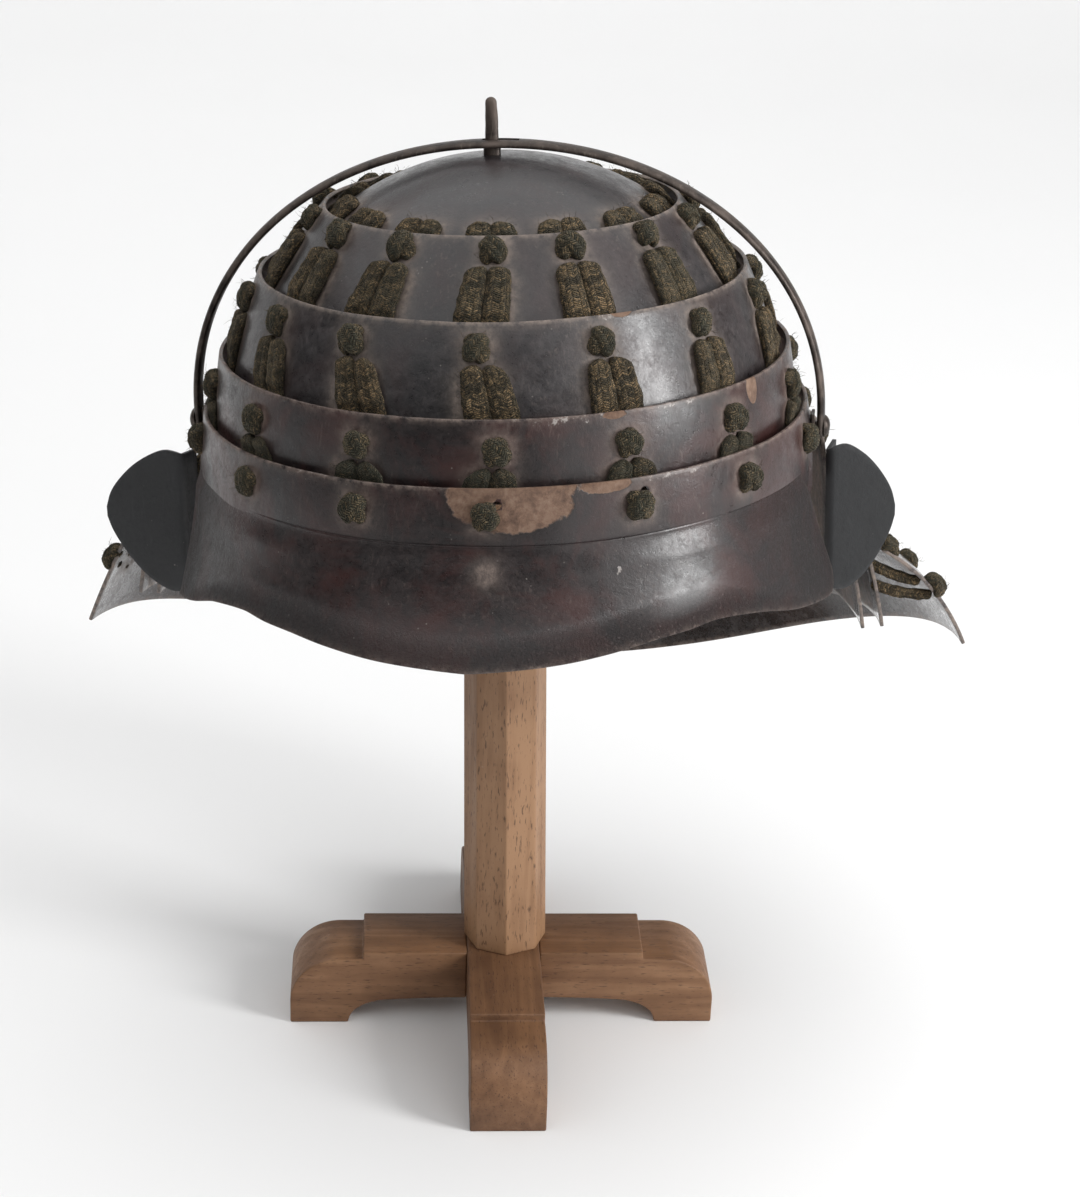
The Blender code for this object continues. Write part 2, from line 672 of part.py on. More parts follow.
def stand_on_origin(root):
    """Move everything so that the origin is the middle of the base of the whole object's box."""
    bpy.context.view_layer.update()
    depsgraph = bpy.context.evaluated_depsgraph_get()
    corners = []
    for thing in bpy.context.scene.objects:
        if thing.type == "MESH" and not thing.hide_render:
            shown = thing.evaluated_get(depsgraph)
            corners += [shown.matrix_world @ vertex.co for vertex in shown.data.vertices]
    low = [min(corner[axis] for corner in corners) for axis in range(3)]
    high = [max(corner[axis] for corner in corners) for axis in range(3)]
    root.location = (-(low[0] + high[0]) / 2, -(low[1] + high[1]) / 2, -low[2])


def main():
    clear_scene()
    materials = {name: make_material(name) for name in MATERIALS}
    root = bpy.data.objects.new("root", None)
    helmet = bpy.data.objects.new("helmet_seat", None)
    for empty in (root, helmet):
        bpy.context.collection.objects.link(empty)
    helmet.parent = root
    helmet.location = (SEAT_OFFSET, 0, RIM_HEIGHT)
    helmet.rotation_euler = (-TIP_BACK, LEAN, 0)
    seat = Matrix.Translation(helmet.location) @ Euler((-TIP_BACK, LEAN, 0)).to_matrix().to_4x4()

    bowl = bowl_plates()
    band = bowl["lame_5"]
    neck = neck_plates(band)
    lames = {}
    for name, plate in bowl.items():
        finish = "lacquer_brown" if name in ("lame_4", "lame_5") else "lacquer_dark"
        lames[name] = sheet_with_slots(name, plate, materials[finish], helmet)
    for name, plate in neck.items():
        start = EAR_TURN if name == "neck_lame_1" else GUARD_TURN
        sheet_with_slots(name, plate, materials["lacquer_dark"], helmet,
                         span=(start, 2 * math.pi - start))
    make_peak(band, materials["lacquer_brown"], helmet)
    for name in EARS:
        make_ear(name, neck["neck_lame_1"], materials["lacquer_matt"], helmet)

    front = [bowl["top_plate"], *(bowl[name] for name in RING_RIMS)]
    for number, turn in enumerate(column_turns(), 1):
        plates = front + (list(neck.values()) if abs(turn) > EAR_TURN else [])
        make_lacing(f"lacing_{number:02d}", plates, turn, materials["lace"], helmet)

    strap = make_strap(materials["iron"], helmet)
    for side, name in ((-1, "left"), (1, "right")):
        make_strap_fastening(side, name, band, strap, lames["lame_5"], materials["iron"], helmet)
    make_top_post(bowl["top_plate"], materials["iron"], helmet)
    make_stand(bowl["top_plate"], seat, materials["wood"], root)
    stand_on_origin(root)


main()
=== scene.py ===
import math
import random

import bpy
from mathutils import Euler, Matrix, Vector, noise


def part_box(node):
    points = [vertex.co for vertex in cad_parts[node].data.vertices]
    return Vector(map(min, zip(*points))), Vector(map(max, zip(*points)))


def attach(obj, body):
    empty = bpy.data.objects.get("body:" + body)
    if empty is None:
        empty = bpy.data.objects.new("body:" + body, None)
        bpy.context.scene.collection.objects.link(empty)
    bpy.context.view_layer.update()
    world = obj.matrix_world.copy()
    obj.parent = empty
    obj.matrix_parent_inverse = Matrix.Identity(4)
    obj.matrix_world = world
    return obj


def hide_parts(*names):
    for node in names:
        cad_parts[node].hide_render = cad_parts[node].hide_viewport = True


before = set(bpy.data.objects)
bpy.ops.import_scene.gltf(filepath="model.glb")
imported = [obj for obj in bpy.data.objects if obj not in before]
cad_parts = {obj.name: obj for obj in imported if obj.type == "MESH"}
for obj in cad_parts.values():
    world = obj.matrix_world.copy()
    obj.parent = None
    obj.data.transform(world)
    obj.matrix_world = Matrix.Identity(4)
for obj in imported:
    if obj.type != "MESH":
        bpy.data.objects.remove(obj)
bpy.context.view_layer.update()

# Laced iron helmet on its wooden stand. Sizes are in metres, and each piece has its own settings.

dice = random.Random(11)
deg = math.radians
bpy.context.scene.view_settings.view_transform = "Standard"


def say(text):
    print("scene:", text)


def deselect():
    bpy.ops.object.select_all(action="DESELECT")


# where things are

seating = {"tipBack": deg(6.3), "lean": deg(-3.4), "offset": -0.0053, "rimHeight": 0.2823}
standLow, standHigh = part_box("stand_base")
standMiddle = Vector(((standLow.x + standHigh.x) / 2, (standLow.y + standHigh.y) / 2, 0))
seat = (Matrix.Translation(standMiddle + Vector((seating["offset"], 0, seating["rimHeight"])))
        @ Euler((-seating["tipBack"], seating["lean"], 0)).to_matrix().to_4x4())

camera = {"place": (0.08325, -0.92061, 0.6543), "looks": (-0.0703, 0.8930, -0.4448),
          "roll": deg(2.14), "lens": 77.62}


def makeCamera():
    ahead = Vector(camera["looks"]).normalized()
    right = ahead.cross(Vector((0, 0, 1))).normalized()
    up = right.cross(ahead)
    turn = camera["roll"]
    across = right * math.cos(turn) + up * math.sin(turn)
    upward = up * math.cos(turn) - right * math.sin(turn)
    bpy.ops.object.camera_add()
    eye = bpy.context.object
    eye.name = "camera"
    eye.data.lens = camera["lens"]
    eye.data.sensor_width = 36
    eye.matrix_world = Matrix.Translation(standMiddle + Vector(camera["place"])) @ Matrix(
        (across, upward, -ahead)).transposed().to_4x4()
    bpy.context.scene.camera = eye


deselect()
makeCamera()
say("camera set")

# plate shapes, the same as the solids'

helmet = {"halfWidth": 0.1154, "height": 0.0925, "oval": 1.05, "wall": 0.0015, "lap": 0.007,
          "bandHeight": 0.034, "bandSpread": 0.0026, "bulge": 0.02, "laceGap": 0.00362,
          "columns": 14, "firstColumn": deg(2.5), "guardWidth": 0.181, "guardDrop": 0.172,
          "guardTurn": deg(95), "neckSeatDrop": 0.016}
ringRims = {"lame_2": (0.577, 0.827), "lame_3": (0.797, 0.564), "lame_4": (0.938, 0.240), "lame_5": (1.0, 0.0)}
neckShapes = {
    "neck_lame_1": (None, (0.702, 0.407), None, (0.724, 0.372), 0.02),
    "neck_lame_2": ((0.732, 0.337), (0.776, 0.570), (0.755, 0.326), (0.790, 0.581), 0.02),
    "neck_lame_3": ((0.774, 0.360), (0.818, 0.564), (0.821, 0.523), (0.851, 0.791), 0.02),
    "neck_lame_4": ((0.812, 0.372), (1.000, 0.606), (0.881, 0.733), (0.895, 1.0), 0.09),
}
leftEnds = {
    "neck_lame_2": ((0.768, 0.284), (0.812, 0.517), 0.02),
    "neck_lame_3": ((0.811, 0.313), (0.855, 0.517), 0.02),
    "neck_lame_4": ((0.868, 0.357), (0.979, 0.590), 0.01),
}


def mix(first, second, share):
    return tuple(p + (q - p) * share for p, q in zip(first, second))


def makePlate(rim, foot, rimBack=None, footBack=None, bulge=helmet["bulge"], left=None):
    ends = (rim, foot, bulge)
    return {"ends": ends, "left": left or ends, "back": (rimBack or rim, footBack or foot, helmet["bulge"])}


def plateLine(plate, turn):
    # rim, lower edge and swell at a turn
    share = math.sin(max(abs(turn) - math.pi / 2, 0)) ** 2
    ends, back = plate["left"] if turn < 0 else plate["ends"], plate["back"]
    return mix(ends[0], back[0], share), mix(ends[1], back[1], share), ends[2] + (back[2] - ends[2]) * share


def plateLength(plate, turn):
    if "arc" in plate:
        return plate["arc"]
    rim, foot, bulge = plateLine(plate, turn)
    return math.dist(rim, foot)


def plateSection(plate, turn, drop, proud=0.0):
    # half width and height at a drop down the profile, proud of the outer face
    if "arc" in plate:
        angle = drop / plate["radius"]
        reach = plate["radius"] + proud
        return reach * math.sin(angle), plate["centre"] + reach * math.cos(angle)
    rim, foot, bulge = plateLine(plate, turn)
    length = math.dist(rim, foot)
    down = ((foot[0] - rim[0]) / length, (foot[1] - rim[1]) / length)
    part = drop / length
    lift = 4 * bulge * length * part * (1 - part) + proud
    return rim[0] + down[0] * drop - down[1] * lift, rim[1] + down[1] * drop + down[0] * lift


def around(turn, halfWidth, height):
    return Vector((halfWidth * math.sin(turn), -helmet["oval"] * halfWidth * math.cos(turn), height))


def platePoint(plate, turn, drop, proud=0.0):
    return around(turn, *plateSection(plate, turn, drop, proud))


def plateAxes(plate, turn, drop):
    # across, down the profile and outwards
    here = platePoint(plate, turn, drop)
    across = (platePoint(plate, turn + 0.002, drop) - here).normalized()
    down = (platePoint(plate, turn, drop + 0.0002) - here).normalized()
    return across, down, down.cross(across).normalized()


def allPlates():
    rims = {name: (wide * helmet["halfWidth"], high * helmet["height"]) for name, (wide, high) in ringRims.items()}
    band = rims["lame_5"]
    plates = {"lame_5": makePlate(band, (band[0] + helmet["bandSpread"], band[1] - helmet["bandHeight"]))}
    inside = -(helmet["wall"] + helmet["laceGap"])
    names = list(ringRims)
    for upper, lower in zip(names[-2::-1], names[:0:-1]):
        plates[upper] = makePlate(rims[upper], plateSection(plates[lower], 0, helmet["lap"], inside))
    edge = plateSection(plates["lame_2"], 0, helmet["lap"], inside)
    fall = helmet["height"] - edge[1]
    radius = (edge[0] ** 2 + fall ** 2) / (2 * fall)
    plates["top_plate"] = {"radius": radius, "centre": helmet["height"] - radius,
                           "arc": radius * math.asin(edge[0] / radius)}
    first = plateSection(plates["lame_5"], 0, helmet["neckSeatDrop"], helmet["laceGap"] + helmet["wall"])

    def size(shares):
        return (shares[0] * helmet["guardWidth"], -shares[1] * helmet["guardDrop"]) if shares else first
    for name, (rim, foot, rimBack, footBack, bulge) in neckShapes.items():
        left = leftEnds.get(name)
        plates[name] = makePlate(size(rim), size(foot), size(rimBack), size(footBack), bulge,
                                 left and (size(left[0]), size(left[1]), left[2]))
    return plates


plates = allPlates()
columnTurns = [(helmet["firstColumn"] + index * 2 * math.pi / helmet["columns"] + math.pi) % (2 * math.pi) - math.pi
               for index in range(helmet["columns"])]
say("plate shapes ready")

# material tools: a node is put in the tree that its inputs come from


def treeOf(*values):
    return next(value.id_data for value in values if isinstance(value, bpy.types.NodeSocket))


def setInputs(node, inputs):
    # a socket is linked, a plain value is set
    for key, value in inputs.items():
        if isinstance(value, bpy.types.NodeSocket):
            node.id_data.links.new(value, node.inputs[key])
        else:
            node.inputs[key].default_value = value


def addNode(tree, kind, inputs=None, **settings):
    node = tree.nodes.new(kind)
    for key, value in settings.items():
        setattr(node, key, value)
    setInputs(node, inputs or {})
    return node


def rampNode(value, stops):
    node = addNode(treeOf(value), "ShaderNodeValToRGB", {"Fac": value})
    while len(node.color_ramp.elements) < len(stops):
        node.color_ramp.elements.new(0.5)
    for element, (place, colour) in zip(node.color_ramp.elements, stops):
        element.position = place
        element.color = (*colour, 1)
    return node.outputs["Color"]


def mathNode(operation, first, second=0.0, clamp=False):
    return addNode(treeOf(first, second), "ShaderNodeMath", {0: first, 1: second}, operation=operation,
                   use_clamp=clamp).outputs[0]


def times(first, second, clamp=False):
    return mathNode("MULTIPLY", first, second, clamp)


def plus(first, second, clamp=False):
    return mathNode("ADD", first, second, clamp)


def minus(first, second, clamp=False):
    return mathNode("SUBTRACT", first, second, clamp)


def larger(first, second):
    return mathNode("MAXIMUM", first, second)


def mixColour(share, first, second):
    first, second = ((*value, 1) if isinstance(value, tuple) else value for value in (first, second))
    return addNode(treeOf(share, first, second), "ShaderNodeMix", {0: share, 6: first, 7: second},
                   data_type="RGBA").outputs[2]


def layOver(colour, mask, strength, upper):
    return mixColour(times(mask, strength), colour, upper)


def noiseNode(vector, scale, detail=4.0, roughness=0.55, distortion=0.0):
    return addNode(treeOf(vector), "ShaderNodeTexNoise", {
        "Vector": vector, "Scale": scale, "Detail": detail, "Roughness": roughness,
        "Distortion": distortion}).outputs["Fac"]


def stretched(vector, scale):
    return addNode(treeOf(vector), "ShaderNodeVectorMath", {0: vector, 1: scale}, operation="MULTIPLY").outputs[0]


def rangeNode(value, low, high, toLow=0.0, toHigh=1.0):
    return addNode(treeOf(value), "ShaderNodeMapRange", {
        "Value": value, "From Min": low, "From Max": high, "To Min": toLow, "To Max": toHigh}).outputs[0]


def stackBumps(*layers):
    # height, strength and distance of each bump, the first lowest
    normal = {}
    for height, strength, distance in layers:
        bump = addNode(treeOf(height), "ShaderNodeBump", {"Height": height, "Strength": strength,
                                                          "Distance": distance, **normal})
        normal = {"Normal": bump.outputs[0]}
    return normal["Normal"]


def attributeNode(tree, name):
    return addNode(tree, "ShaderNodeAttribute", attribute_name=name).outputs["Fac"]


def newGroup(name, inputs, outputs):
    # an input without a value is a vector
    group = bpy.data.node_groups.new(name, "ShaderNodeTree")
    for label, value in inputs.items():
        kind = "NodeSocketVector" if value is None else "NodeSocketFloat"
        socket = group.interface.new_socket(label, in_out="INPUT", socket_type=kind)
        if value is not None:
            socket.default_value = value
    for label in outputs:
        group.interface.new_socket(label, in_out="OUTPUT", socket_type="NodeSocketFloat")
    return group, addNode(group, "NodeGroupInput").outputs, addNode(group, "NodeGroupOutput")


def placeGroup(group, inputs):
    return addNode(treeOf(*inputs.values()), "ShaderNodeGroup", inputs, node_tree=group).outputs


def newMaterial(name, constants):
    # the material, its shader and its object coordinates
    material = bpy.data.materials.new(name)
    material.use_nodes = True
    shader = material.node_tree.nodes["Principled BSDF"]
    setInputs(shader, constants)
    return material, shader, addNode(material.node_tree, "ShaderNodeTexCoord").outputs["Object"]


def wearGroup():
    # old surface: broad patches, fine scratches down the plate, pale specks and a fine grain
    group, given, result = newGroup("oldSurface", {
        "Vector": None, "Patch Scale": 22.0, "Scratch Scale": 800.0, "Speck Scale": 420.0},
        ("Patch", "Scratch", "Speck", "Grain"))
    place = given["Vector"]
    patch = noiseNode(place, given["Patch Scale"], 6.0, 0.6, 0.4)
    scratch = noiseNode(stretched(place, (1.0, 1.0, 0.09)), given["Scratch Scale"], 3.0, 0.6, 0.3)
    cells = addNode(group, "ShaderNodeTexVoronoi", {"Vector": place, "Scale": given["Speck Scale"]},
                    feature="F1").outputs["Distance"]
    rare = noiseNode(place, 130.0, 2.0)
    setInputs(result, {
        "Patch": rangeNode(patch, 0.36, 0.66), "Scratch": rangeNode(scratch, 0.56, 0.70),
        "Speck": times(rangeNode(cells, 0.16, 0.06), rangeNode(rare, 0.60, 0.72)),
        "Grain": noiseNode(place, 1900.0, 3.0, 0.7)})
    return group


oldSurface = wearGroup()
# what paintSheet marks: close to a rim, round a knot or pair, lost lacquer, whitish chips, the peak's rough band
wearLabels = ("edge", "halo", "bare", "chalk", "pit")

# base tones from low to high, haze and dust over them, and how strong each is; the dust colour also paints a
# highlight along the rims
lacquerLooks = {
    "lacquer_dark": {
        "low": (0.009, 0.008, 0.009), "high": (0.018, 0.015, 0.016), "haze": (0.068, 0.059, 0.060),
        "hazeShare": 0.50, "red": (0.045, 0.020, 0.018), "redShare": 0.25, "rough": 0.38, "coat": 0.34,
        "coatRough": 0.20, "dust": (0.270, 0.215, 0.180)},
    "lacquer_brown": {
        "low": (0.0065, 0.0055, 0.006), "high": (0.016, 0.010, 0.010), "haze": (0.054, 0.036, 0.035),
        "hazeShare": 0.28, "red": (0.042, 0.013, 0.011), "redShare": 0.70, "rough": 0.38, "coat": 0.34,
        "coatRough": 0.22, "dust": (0.230, 0.175, 0.148)},
    "lacquer_matt": {
        "low": (0.010, 0.0105, 0.0115), "high": (0.017, 0.0175, 0.019), "haze": (0.028, 0.029, 0.031),
        "hazeShare": 0.50, "red": (0.03, 0.03, 0.03), "redShare": 0.0, "rough": 0.60, "coat": 0.05,
        "coatRough": 0.5, "dust": (0.060, 0.061, 0.063)},
}
lacquerLooks["lacquer_gloss"] = {**lacquerLooks["lacquer_dark"], "coat": 1.0, "coatRough": 0.10, "rough": 0.30,
                                 "haze": (0.120, 0.105, 0.104)}
# rim: how strong the pale line along each rim is, partly worn rim and partly a painted highlight
lacquerWear = {"scuff": 0.14, "stain": 0.70, "rim": 0.80, "chip": 0.7, "speck": 0.55, "pit": 0.35, "border": 0.6,
               "chipColour": (0.36, 0.33, 0.31), "speckColour": (0.34, 0.31, 0.28),
               "borderColour": (0.010, 0.007, 0.006)}
groundStops = [(0.36, (0.060, 0.031, 0.020)), (0.50, (0.150, 0.088, 0.058)), (0.64, (0.225, 0.150, 0.108))]


def makeLacquer(name, look):
    material, shader, place = newMaterial(name, {"Coat Roughness": look["coatRough"], "Specular IOR Level": 0.45})
    worn = placeGroup(oldSurface, {"Vector": place})
    edge, halo, bare, chalk, pit = (attributeNode(treeOf(place), label) for label in wearLabels)
    ragged = noiseNode(place, 300.0, 6.0, 0.7)
    cloud = noiseNode(place, 34.0, 6.0, 0.68, 0.8)
    mottle = noiseNode(place, 170.0, 6.0, 0.72, 0.3)
    fine = noiseNode(place, 640.0, 5.0, 0.78)
    # clouded, rubbed surface
    haze = rangeNode(plus(times(cloud, 0.45), times(mottle, 0.55)), 0.43, 0.60)
    haze = times(haze, rangeNode(fine, 0.36, 0.64, 0.30, 1.35), clamp=True)
    colour = mixColour(worn["Patch"], look["low"], look["high"])
    colour = layOver(colour, haze, look["hazeShare"], look["haze"])
    red = rangeNode(noiseNode(place, 27.0, 5.0, 0.62, 0.6), 0.47, 0.62)
    colour = layOver(colour, red, look["redShare"], look["red"])
    scuff = times(worn["Scratch"], rangeNode(cloud, 0.42, 0.62))
    colour = layOver(colour, scuff, lacquerWear["scuff"], look["dust"])
    # dust round the cords, a pale line along the rims that is partly worn rim and partly a painted highlight, and
    # chips
    stain = times(halo, rangeNode(ragged, 0.34, 0.62, 0.25, 1.0))
    colour = layOver(colour, stain, lacquerWear["stain"], look["dust"])
    # painted highlight: the pale line along each rim stands partly for light on the rounded rim, partly for wear
    rim = times(edge, rangeNode(ragged, 0.36, 0.60))
    colour = layOver(colour, rim, lacquerWear["rim"], look["dust"])
    chips = rangeNode(plus(times(chalk, 0.30), ragged), 0.84, 0.91)
    colour = layOver(colour, chips, lacquerWear["chip"], lacquerWear["chipColour"])
    colour = layOver(colour, worn["Speck"], lacquerWear["speck"], lacquerWear["speckColour"])
    pits = rangeNode(noiseNode(place, 950.0, 4.0, 0.75), 0.40, 0.62)
    colour = mixColour(times(pit, times(pits, lacquerWear["pit"])), colour, look["haze"])
    # where the lacquer has come off the ground shows, with a dark border
    torn = plus(bare, rangeNode(noiseNode(place, 160.0, 6.0, 0.62), 0, 1, -0.11, 0.11))
    raw = rangeNode(torn, 0.49, 0.515)
    border = times(rangeNode(torn, 0.44, 0.50), minus(1.0, raw))
    colour = layOver(colour, border, lacquerWear["border"], lacquerWear["borderColour"])
    colour = mixColour(raw, colour, rampNode(plus(times(mottle, 0.6), times(ragged, 0.4)), groundStops))
    dusty = larger(stain, rim)
    rough = plus(rangeNode(haze, 0, 1, look["rough"] - 0.08, look["rough"] + 0.12), times(larger(dusty, pit), 0.28))
    rough = plus(rough, rangeNode(fine, 0.3, 0.7, -0.07, 0.07))
    rough = plus(rough, times(raw, 0.35), clamp=True)
    dull = larger(larger(larger(dusty, pit), raw), times(haze, 0.6))
    normal = stackBumps(
        (noiseNode(place, 38.0, 3.0), 0.45, 0.0012), (mottle, 0.45, 0.0005), (fine, 0.30, 0.0003),
        (worn["Grain"], 0.22, 0.0002), (times(pits, pit), 1.0, 0.0007), (times(raw, -1.0), 0.6, 0.0004),
        (times(dusty, ragged), 0.5, 0.0003))
    setInputs(shader, {"Base Color": colour, "Roughness": rough, "Normal": normal,
                       "Coat Weight": minus(look["coat"], times(dull, look["coat"]), clamp=True)})
    return material


ironLook = {"low": (0.030, 0.024, 0.021), "high": (0.105, 0.080, 0.066), "pale": (0.21, 0.18, 0.155),
            "scratch": 0.3, "rough": (0.36, 0.62), "metal": (0.75, 0.35)}


def makeIron():
    material, shader, place = newMaterial("iron", {"Specular IOR Level": 0.5})
    worn = placeGroup(oldSurface, {"Vector": place, "Patch Scale": 90.0, "Speck Scale": 300.0})
    colour = mixColour(worn["Patch"], ironLook["low"], ironLook["high"])
    setInputs(shader, {
        "Base Color": layOver(colour, worn["Scratch"], ironLook["scratch"], ironLook["pale"]),
        "Roughness": rangeNode(worn["Patch"], 0, 1, *ironLook["rough"]),
        "Metallic": rangeNode(worn["Patch"], 0, 1, *ironLook["metal"]),
        "Normal": stackBumps((noiseNode(place, 120.0, 2.0), 0.5, 0.0006),
                             (noiseNode(place, 700.0, 5.0, 0.7), 0.35, 0.0003))})
    return material


# lean, swell and groove are those of the modelled strands as well; dark is also painted into the gaps between strands
# as shade
braidLook = {"tan": (0.410, 0.272, 0.140), "olive": (0.084, 0.065, 0.038), "green": (0.028, 0.038, 0.029),
             "dark": (0.008, 0.007, 0.005), "lean": 1.3, "swell": 0.7, "groove": 0.45, "grooveEdge": 4.0}


def makeBraid():
    # the strands follow the modelled relief: u counts columns of strands, v counts strands
    material, shader, place = newMaterial("lace", {
        "Sheen Weight": 0.30, "Sheen Roughness": 0.5, "Sheen Tint": (0.70, 0.62, 0.48, 1),
        "Specular IOR Level": 0.15, "Roughness": 0.88})
    tree = material.node_tree
    parts = addNode(tree, "ShaderNodeSeparateXYZ", {0: place.node.outputs["UV"]}).outputs
    side = mathNode("FRACT", parts["X"])
    odd = mathNode("MODULO", mathNode("FLOOR", parts["X"]), 2.0)
    lean = times(minus(times(odd, 2.0), 1.0), times(minus(side, 0.5), braidLook["lean"]))
    wobble = noiseNode(place, 520.0, 3.0)
    run = plus(plus(parts["Y"], times(odd, 0.5)), plus(lean, times(wobble, 1.6)))
    strand = mathNode("ABSOLUTE", mathNode("SINE", times(run, math.pi)))
    off = mathNode("ABSOLUTE", minus(times(side, 2.0), 1.0))
    groove = minus(1.0, times(mathNode("POWER", off, braidLook["grooveEdge"]), braidLook["groove"]))
    full = times(mathNode("POWER", strand, braidLook["swell"]), groove)
    # each strand has its own shade, and the whole is blotched and hairy
    cell = addNode(tree, "ShaderNodeCombineXYZ", {"X": mathNode("FLOOR", run), "Y": mathNode("FLOOR", parts["X"])})
    own = addNode(tree, "ShaderNodeTexWhiteNoise", {"Vector": cell.outputs[0]},
                  noise_dimensions="2D").outputs["Value"]
    broad = noiseNode(place, 170.0, 4.0, 0.65)
    fibre = noiseNode(place, 2300.0, 4.0, 0.8)
    grain = noiseNode(place, 1700.0, 3.0, 0.75)
    shade = plus(times(own, 0.20), plus(times(broad, 0.42), rangeNode(grain, 0.36, 0.64, 0.0, 0.34)))
    colour = rampNode(shade, [(0.36, braidLook["dark"]), (0.50, braidLook["olive"]), (0.67, braidLook["tan"])])
    green = rangeNode(plus(attributeNode(tree, "green"), times(broad, 0.9)), 0.40, 1.0)
    colour = layOver(colour, green, 0.85, braidLook["green"])
    # painted shade: the gaps between the strands are darkened
    colour = mixColour(rangeNode(full, 0.32, 0.88), braidLook["dark"], colour)
    setInputs(shader, {"Base Color": colour,
                       "Normal": stackBumps((full, 1.0, 0.0008), (plus(fibre, grain), 0.9, 0.0003))})
    return material


woodLook = {"dark": (0.115, 0.054, 0.026), "mid": (0.205, 0.103, 0.050), "light": (0.330, 0.185, 0.098),
            "pore": (0.060, 0.028, 0.015), "speck": (0.45, 0.36, 0.28)}


def woodGroup():
    # grain along X: broad streaks, short dark pores and blotches
    group, given, result = newGroup("woodGrain", {"Vector": None}, ("Streak", "Pore", "Blotch"))
    place = given["Vector"]
    pore = noiseNode(stretched(place, (0.16, 1, 1)), 1500.0, 2.0, 0.5)
    setInputs(result, {"Streak": noiseNode(stretched(place, (0.06, 1, 1)), 190.0, 5.0, 0.6, 0.5),
                       "Pore": rangeNode(pore, 0.60, 0.68), "Blotch": noiseNode(place, 30.0, 4.0, 0.6)})
    return group


woodGrain = woodGroup()


def makeWood(name, turn, lift):
    # turn: how the grain's own X axis lies, as an Euler; lift: lighter or darker wood, painted light and shade for
    # how light falls on each part
    material, shader, place = newMaterial(name, {"Specular IOR Level": 0.4})
    turned = addNode(treeOf(place), "ShaderNodeMapping", {"Vector": place, "Rotation": turn}).outputs[0]
    grain = placeGroup(woodGrain, {"Vector": turned})
    worn = placeGroup(oldSurface, {"Vector": place, "Patch Scale": 60.0, "Speck Scale": 260.0})
    tone = plus(times(grain["Streak"], 0.55), plus(times(grain["Blotch"], 0.5), 0.10))
    colour = rampNode(plus(tone, lift), [(0.38, woodLook["dark"]), (0.62, woodLook["mid"]),
                                         (0.86, woodLook["light"])])
    colour = layOver(colour, grain["Pore"], 0.7, woodLook["pore"])
    height = minus(times(grain["Streak"], 0.4), grain["Pore"])
    setInputs(shader, {"Base Color": layOver(colour, worn["Speck"], 0.35, woodLook["speck"]),
                       "Roughness": rangeNode(grain["Streak"], 0.3, 0.7, 0.62, 0.46),
                       "Normal": stackBumps((height, 0.35, 0.0003))})
    return material


lacquers = {name: makeLacquer(name, look) for name, look in lacquerLooks.items()}
iron = makeIron()
braid = makeBraid()
standTurn = deg(8.27)
# lit and shaded copies of one wood: the upright is painted lighter against the helmet's shadow on it, the leg ahead
# painted darker against the light on its front face
woodAcross = makeWood("wood_across", (0, 0, -standTurn), -0.04)
woodAhead = makeWood("wood_ahead", (0, 0, -standTurn - math.pi / 2), -0.13)
woodUpright = makeWood("wood_upright", (0, math.pi / 2, 0), 0.19)
say("materials ready")

# modelling tools


def start(name, material):
    piece = bpy.context.object
    piece.name = name
    piece.data.name = name
    piece.data.materials.clear()
    piece.data.materials.append(material)
    return piece


def selectMesh():
    bpy.ops.mesh.select_all(action="SELECT")


def editAll():
    bpy.ops.object.mode_set(mode="EDIT")
    selectMesh()


def leaveEdit():
    bpy.ops.object.mode_set(mode="OBJECT")


def turnOutwards():
    selectMesh()
    bpy.ops.mesh.normals_make_consistent(inside=False)
    leaveEdit()


def extrude(x, y, z):
    bpy.ops.mesh.extrude_region_move(TRANSFORM_OT_translate={"value": (x, y, z)})


def resize(size, centre=(0, 0, 0)):
    bpy.ops.transform.resize(value=size, center_override=centre)


def settle():
    bpy.ops.object.transform_apply(location=True, rotation=True, scale=True)


def only(piece):
    deselect()
    piece.select_set(True)
    bpy.context.view_layer.objects.active = piece


def applyModifier(piece, kind, **settings):
    modifier = piece.modifiers.new(kind.lower(), kind)
    for key, value in settings.items():
        setattr(modifier, key, value)
    only(piece)
    bpy.ops.object.modifier_apply(modifier=modifier.name)


def gridPiece(columns, rows, place):
    # a grid whose points are laid where place says, from shares across and along
    deselect()
    bpy.ops.mesh.primitive_grid_add(x_subdivisions=columns, y_subdivisions=rows, size=2)
    for vertex in bpy.context.object.data.vertices:
        vertex.co = place((vertex.co.x + 1) / 2, (vertex.co.y + 1) / 2)
    return bpy.context.object


def faceOut(piece, axisHeight=None):
    # turns a sheet's faces away from the helmet's axis
    total = 0
    for face in piece.data.polygons:
        outward = Vector((face.center.x, face.center.y, 0 if axisHeight is None else face.center.z - axisHeight))
        total += face.normal.dot(outward) * face.area
    if total < 0:
        only(piece)
        editAll()
        bpy.ops.mesh.flip_normals()
        leaveEdit()


def addWall(piece, soften=0.0004):
    applyModifier(piece, "SOLIDIFY", thickness=helmet["wall"], offset=-1, use_even_offset=True)
    applyModifier(piece, "BEVEL", width=soften, segments=2, limit_method="ANGLE", angle_limit=deg(50))


def finishPiece(piece, *nodes, smooth=35, seated=True):
    if seated:
        piece.data.transform(seat)
    only(piece)
    bpy.ops.object.shade_smooth_by_angle(angle=deg(smooth))
    if nodes:
        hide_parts(*nodes)
    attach(piece, "root")


def smoothStep(value):
    value = min(max(value, 0.0), 1.0)
    return value * value * (3 - 2 * value)


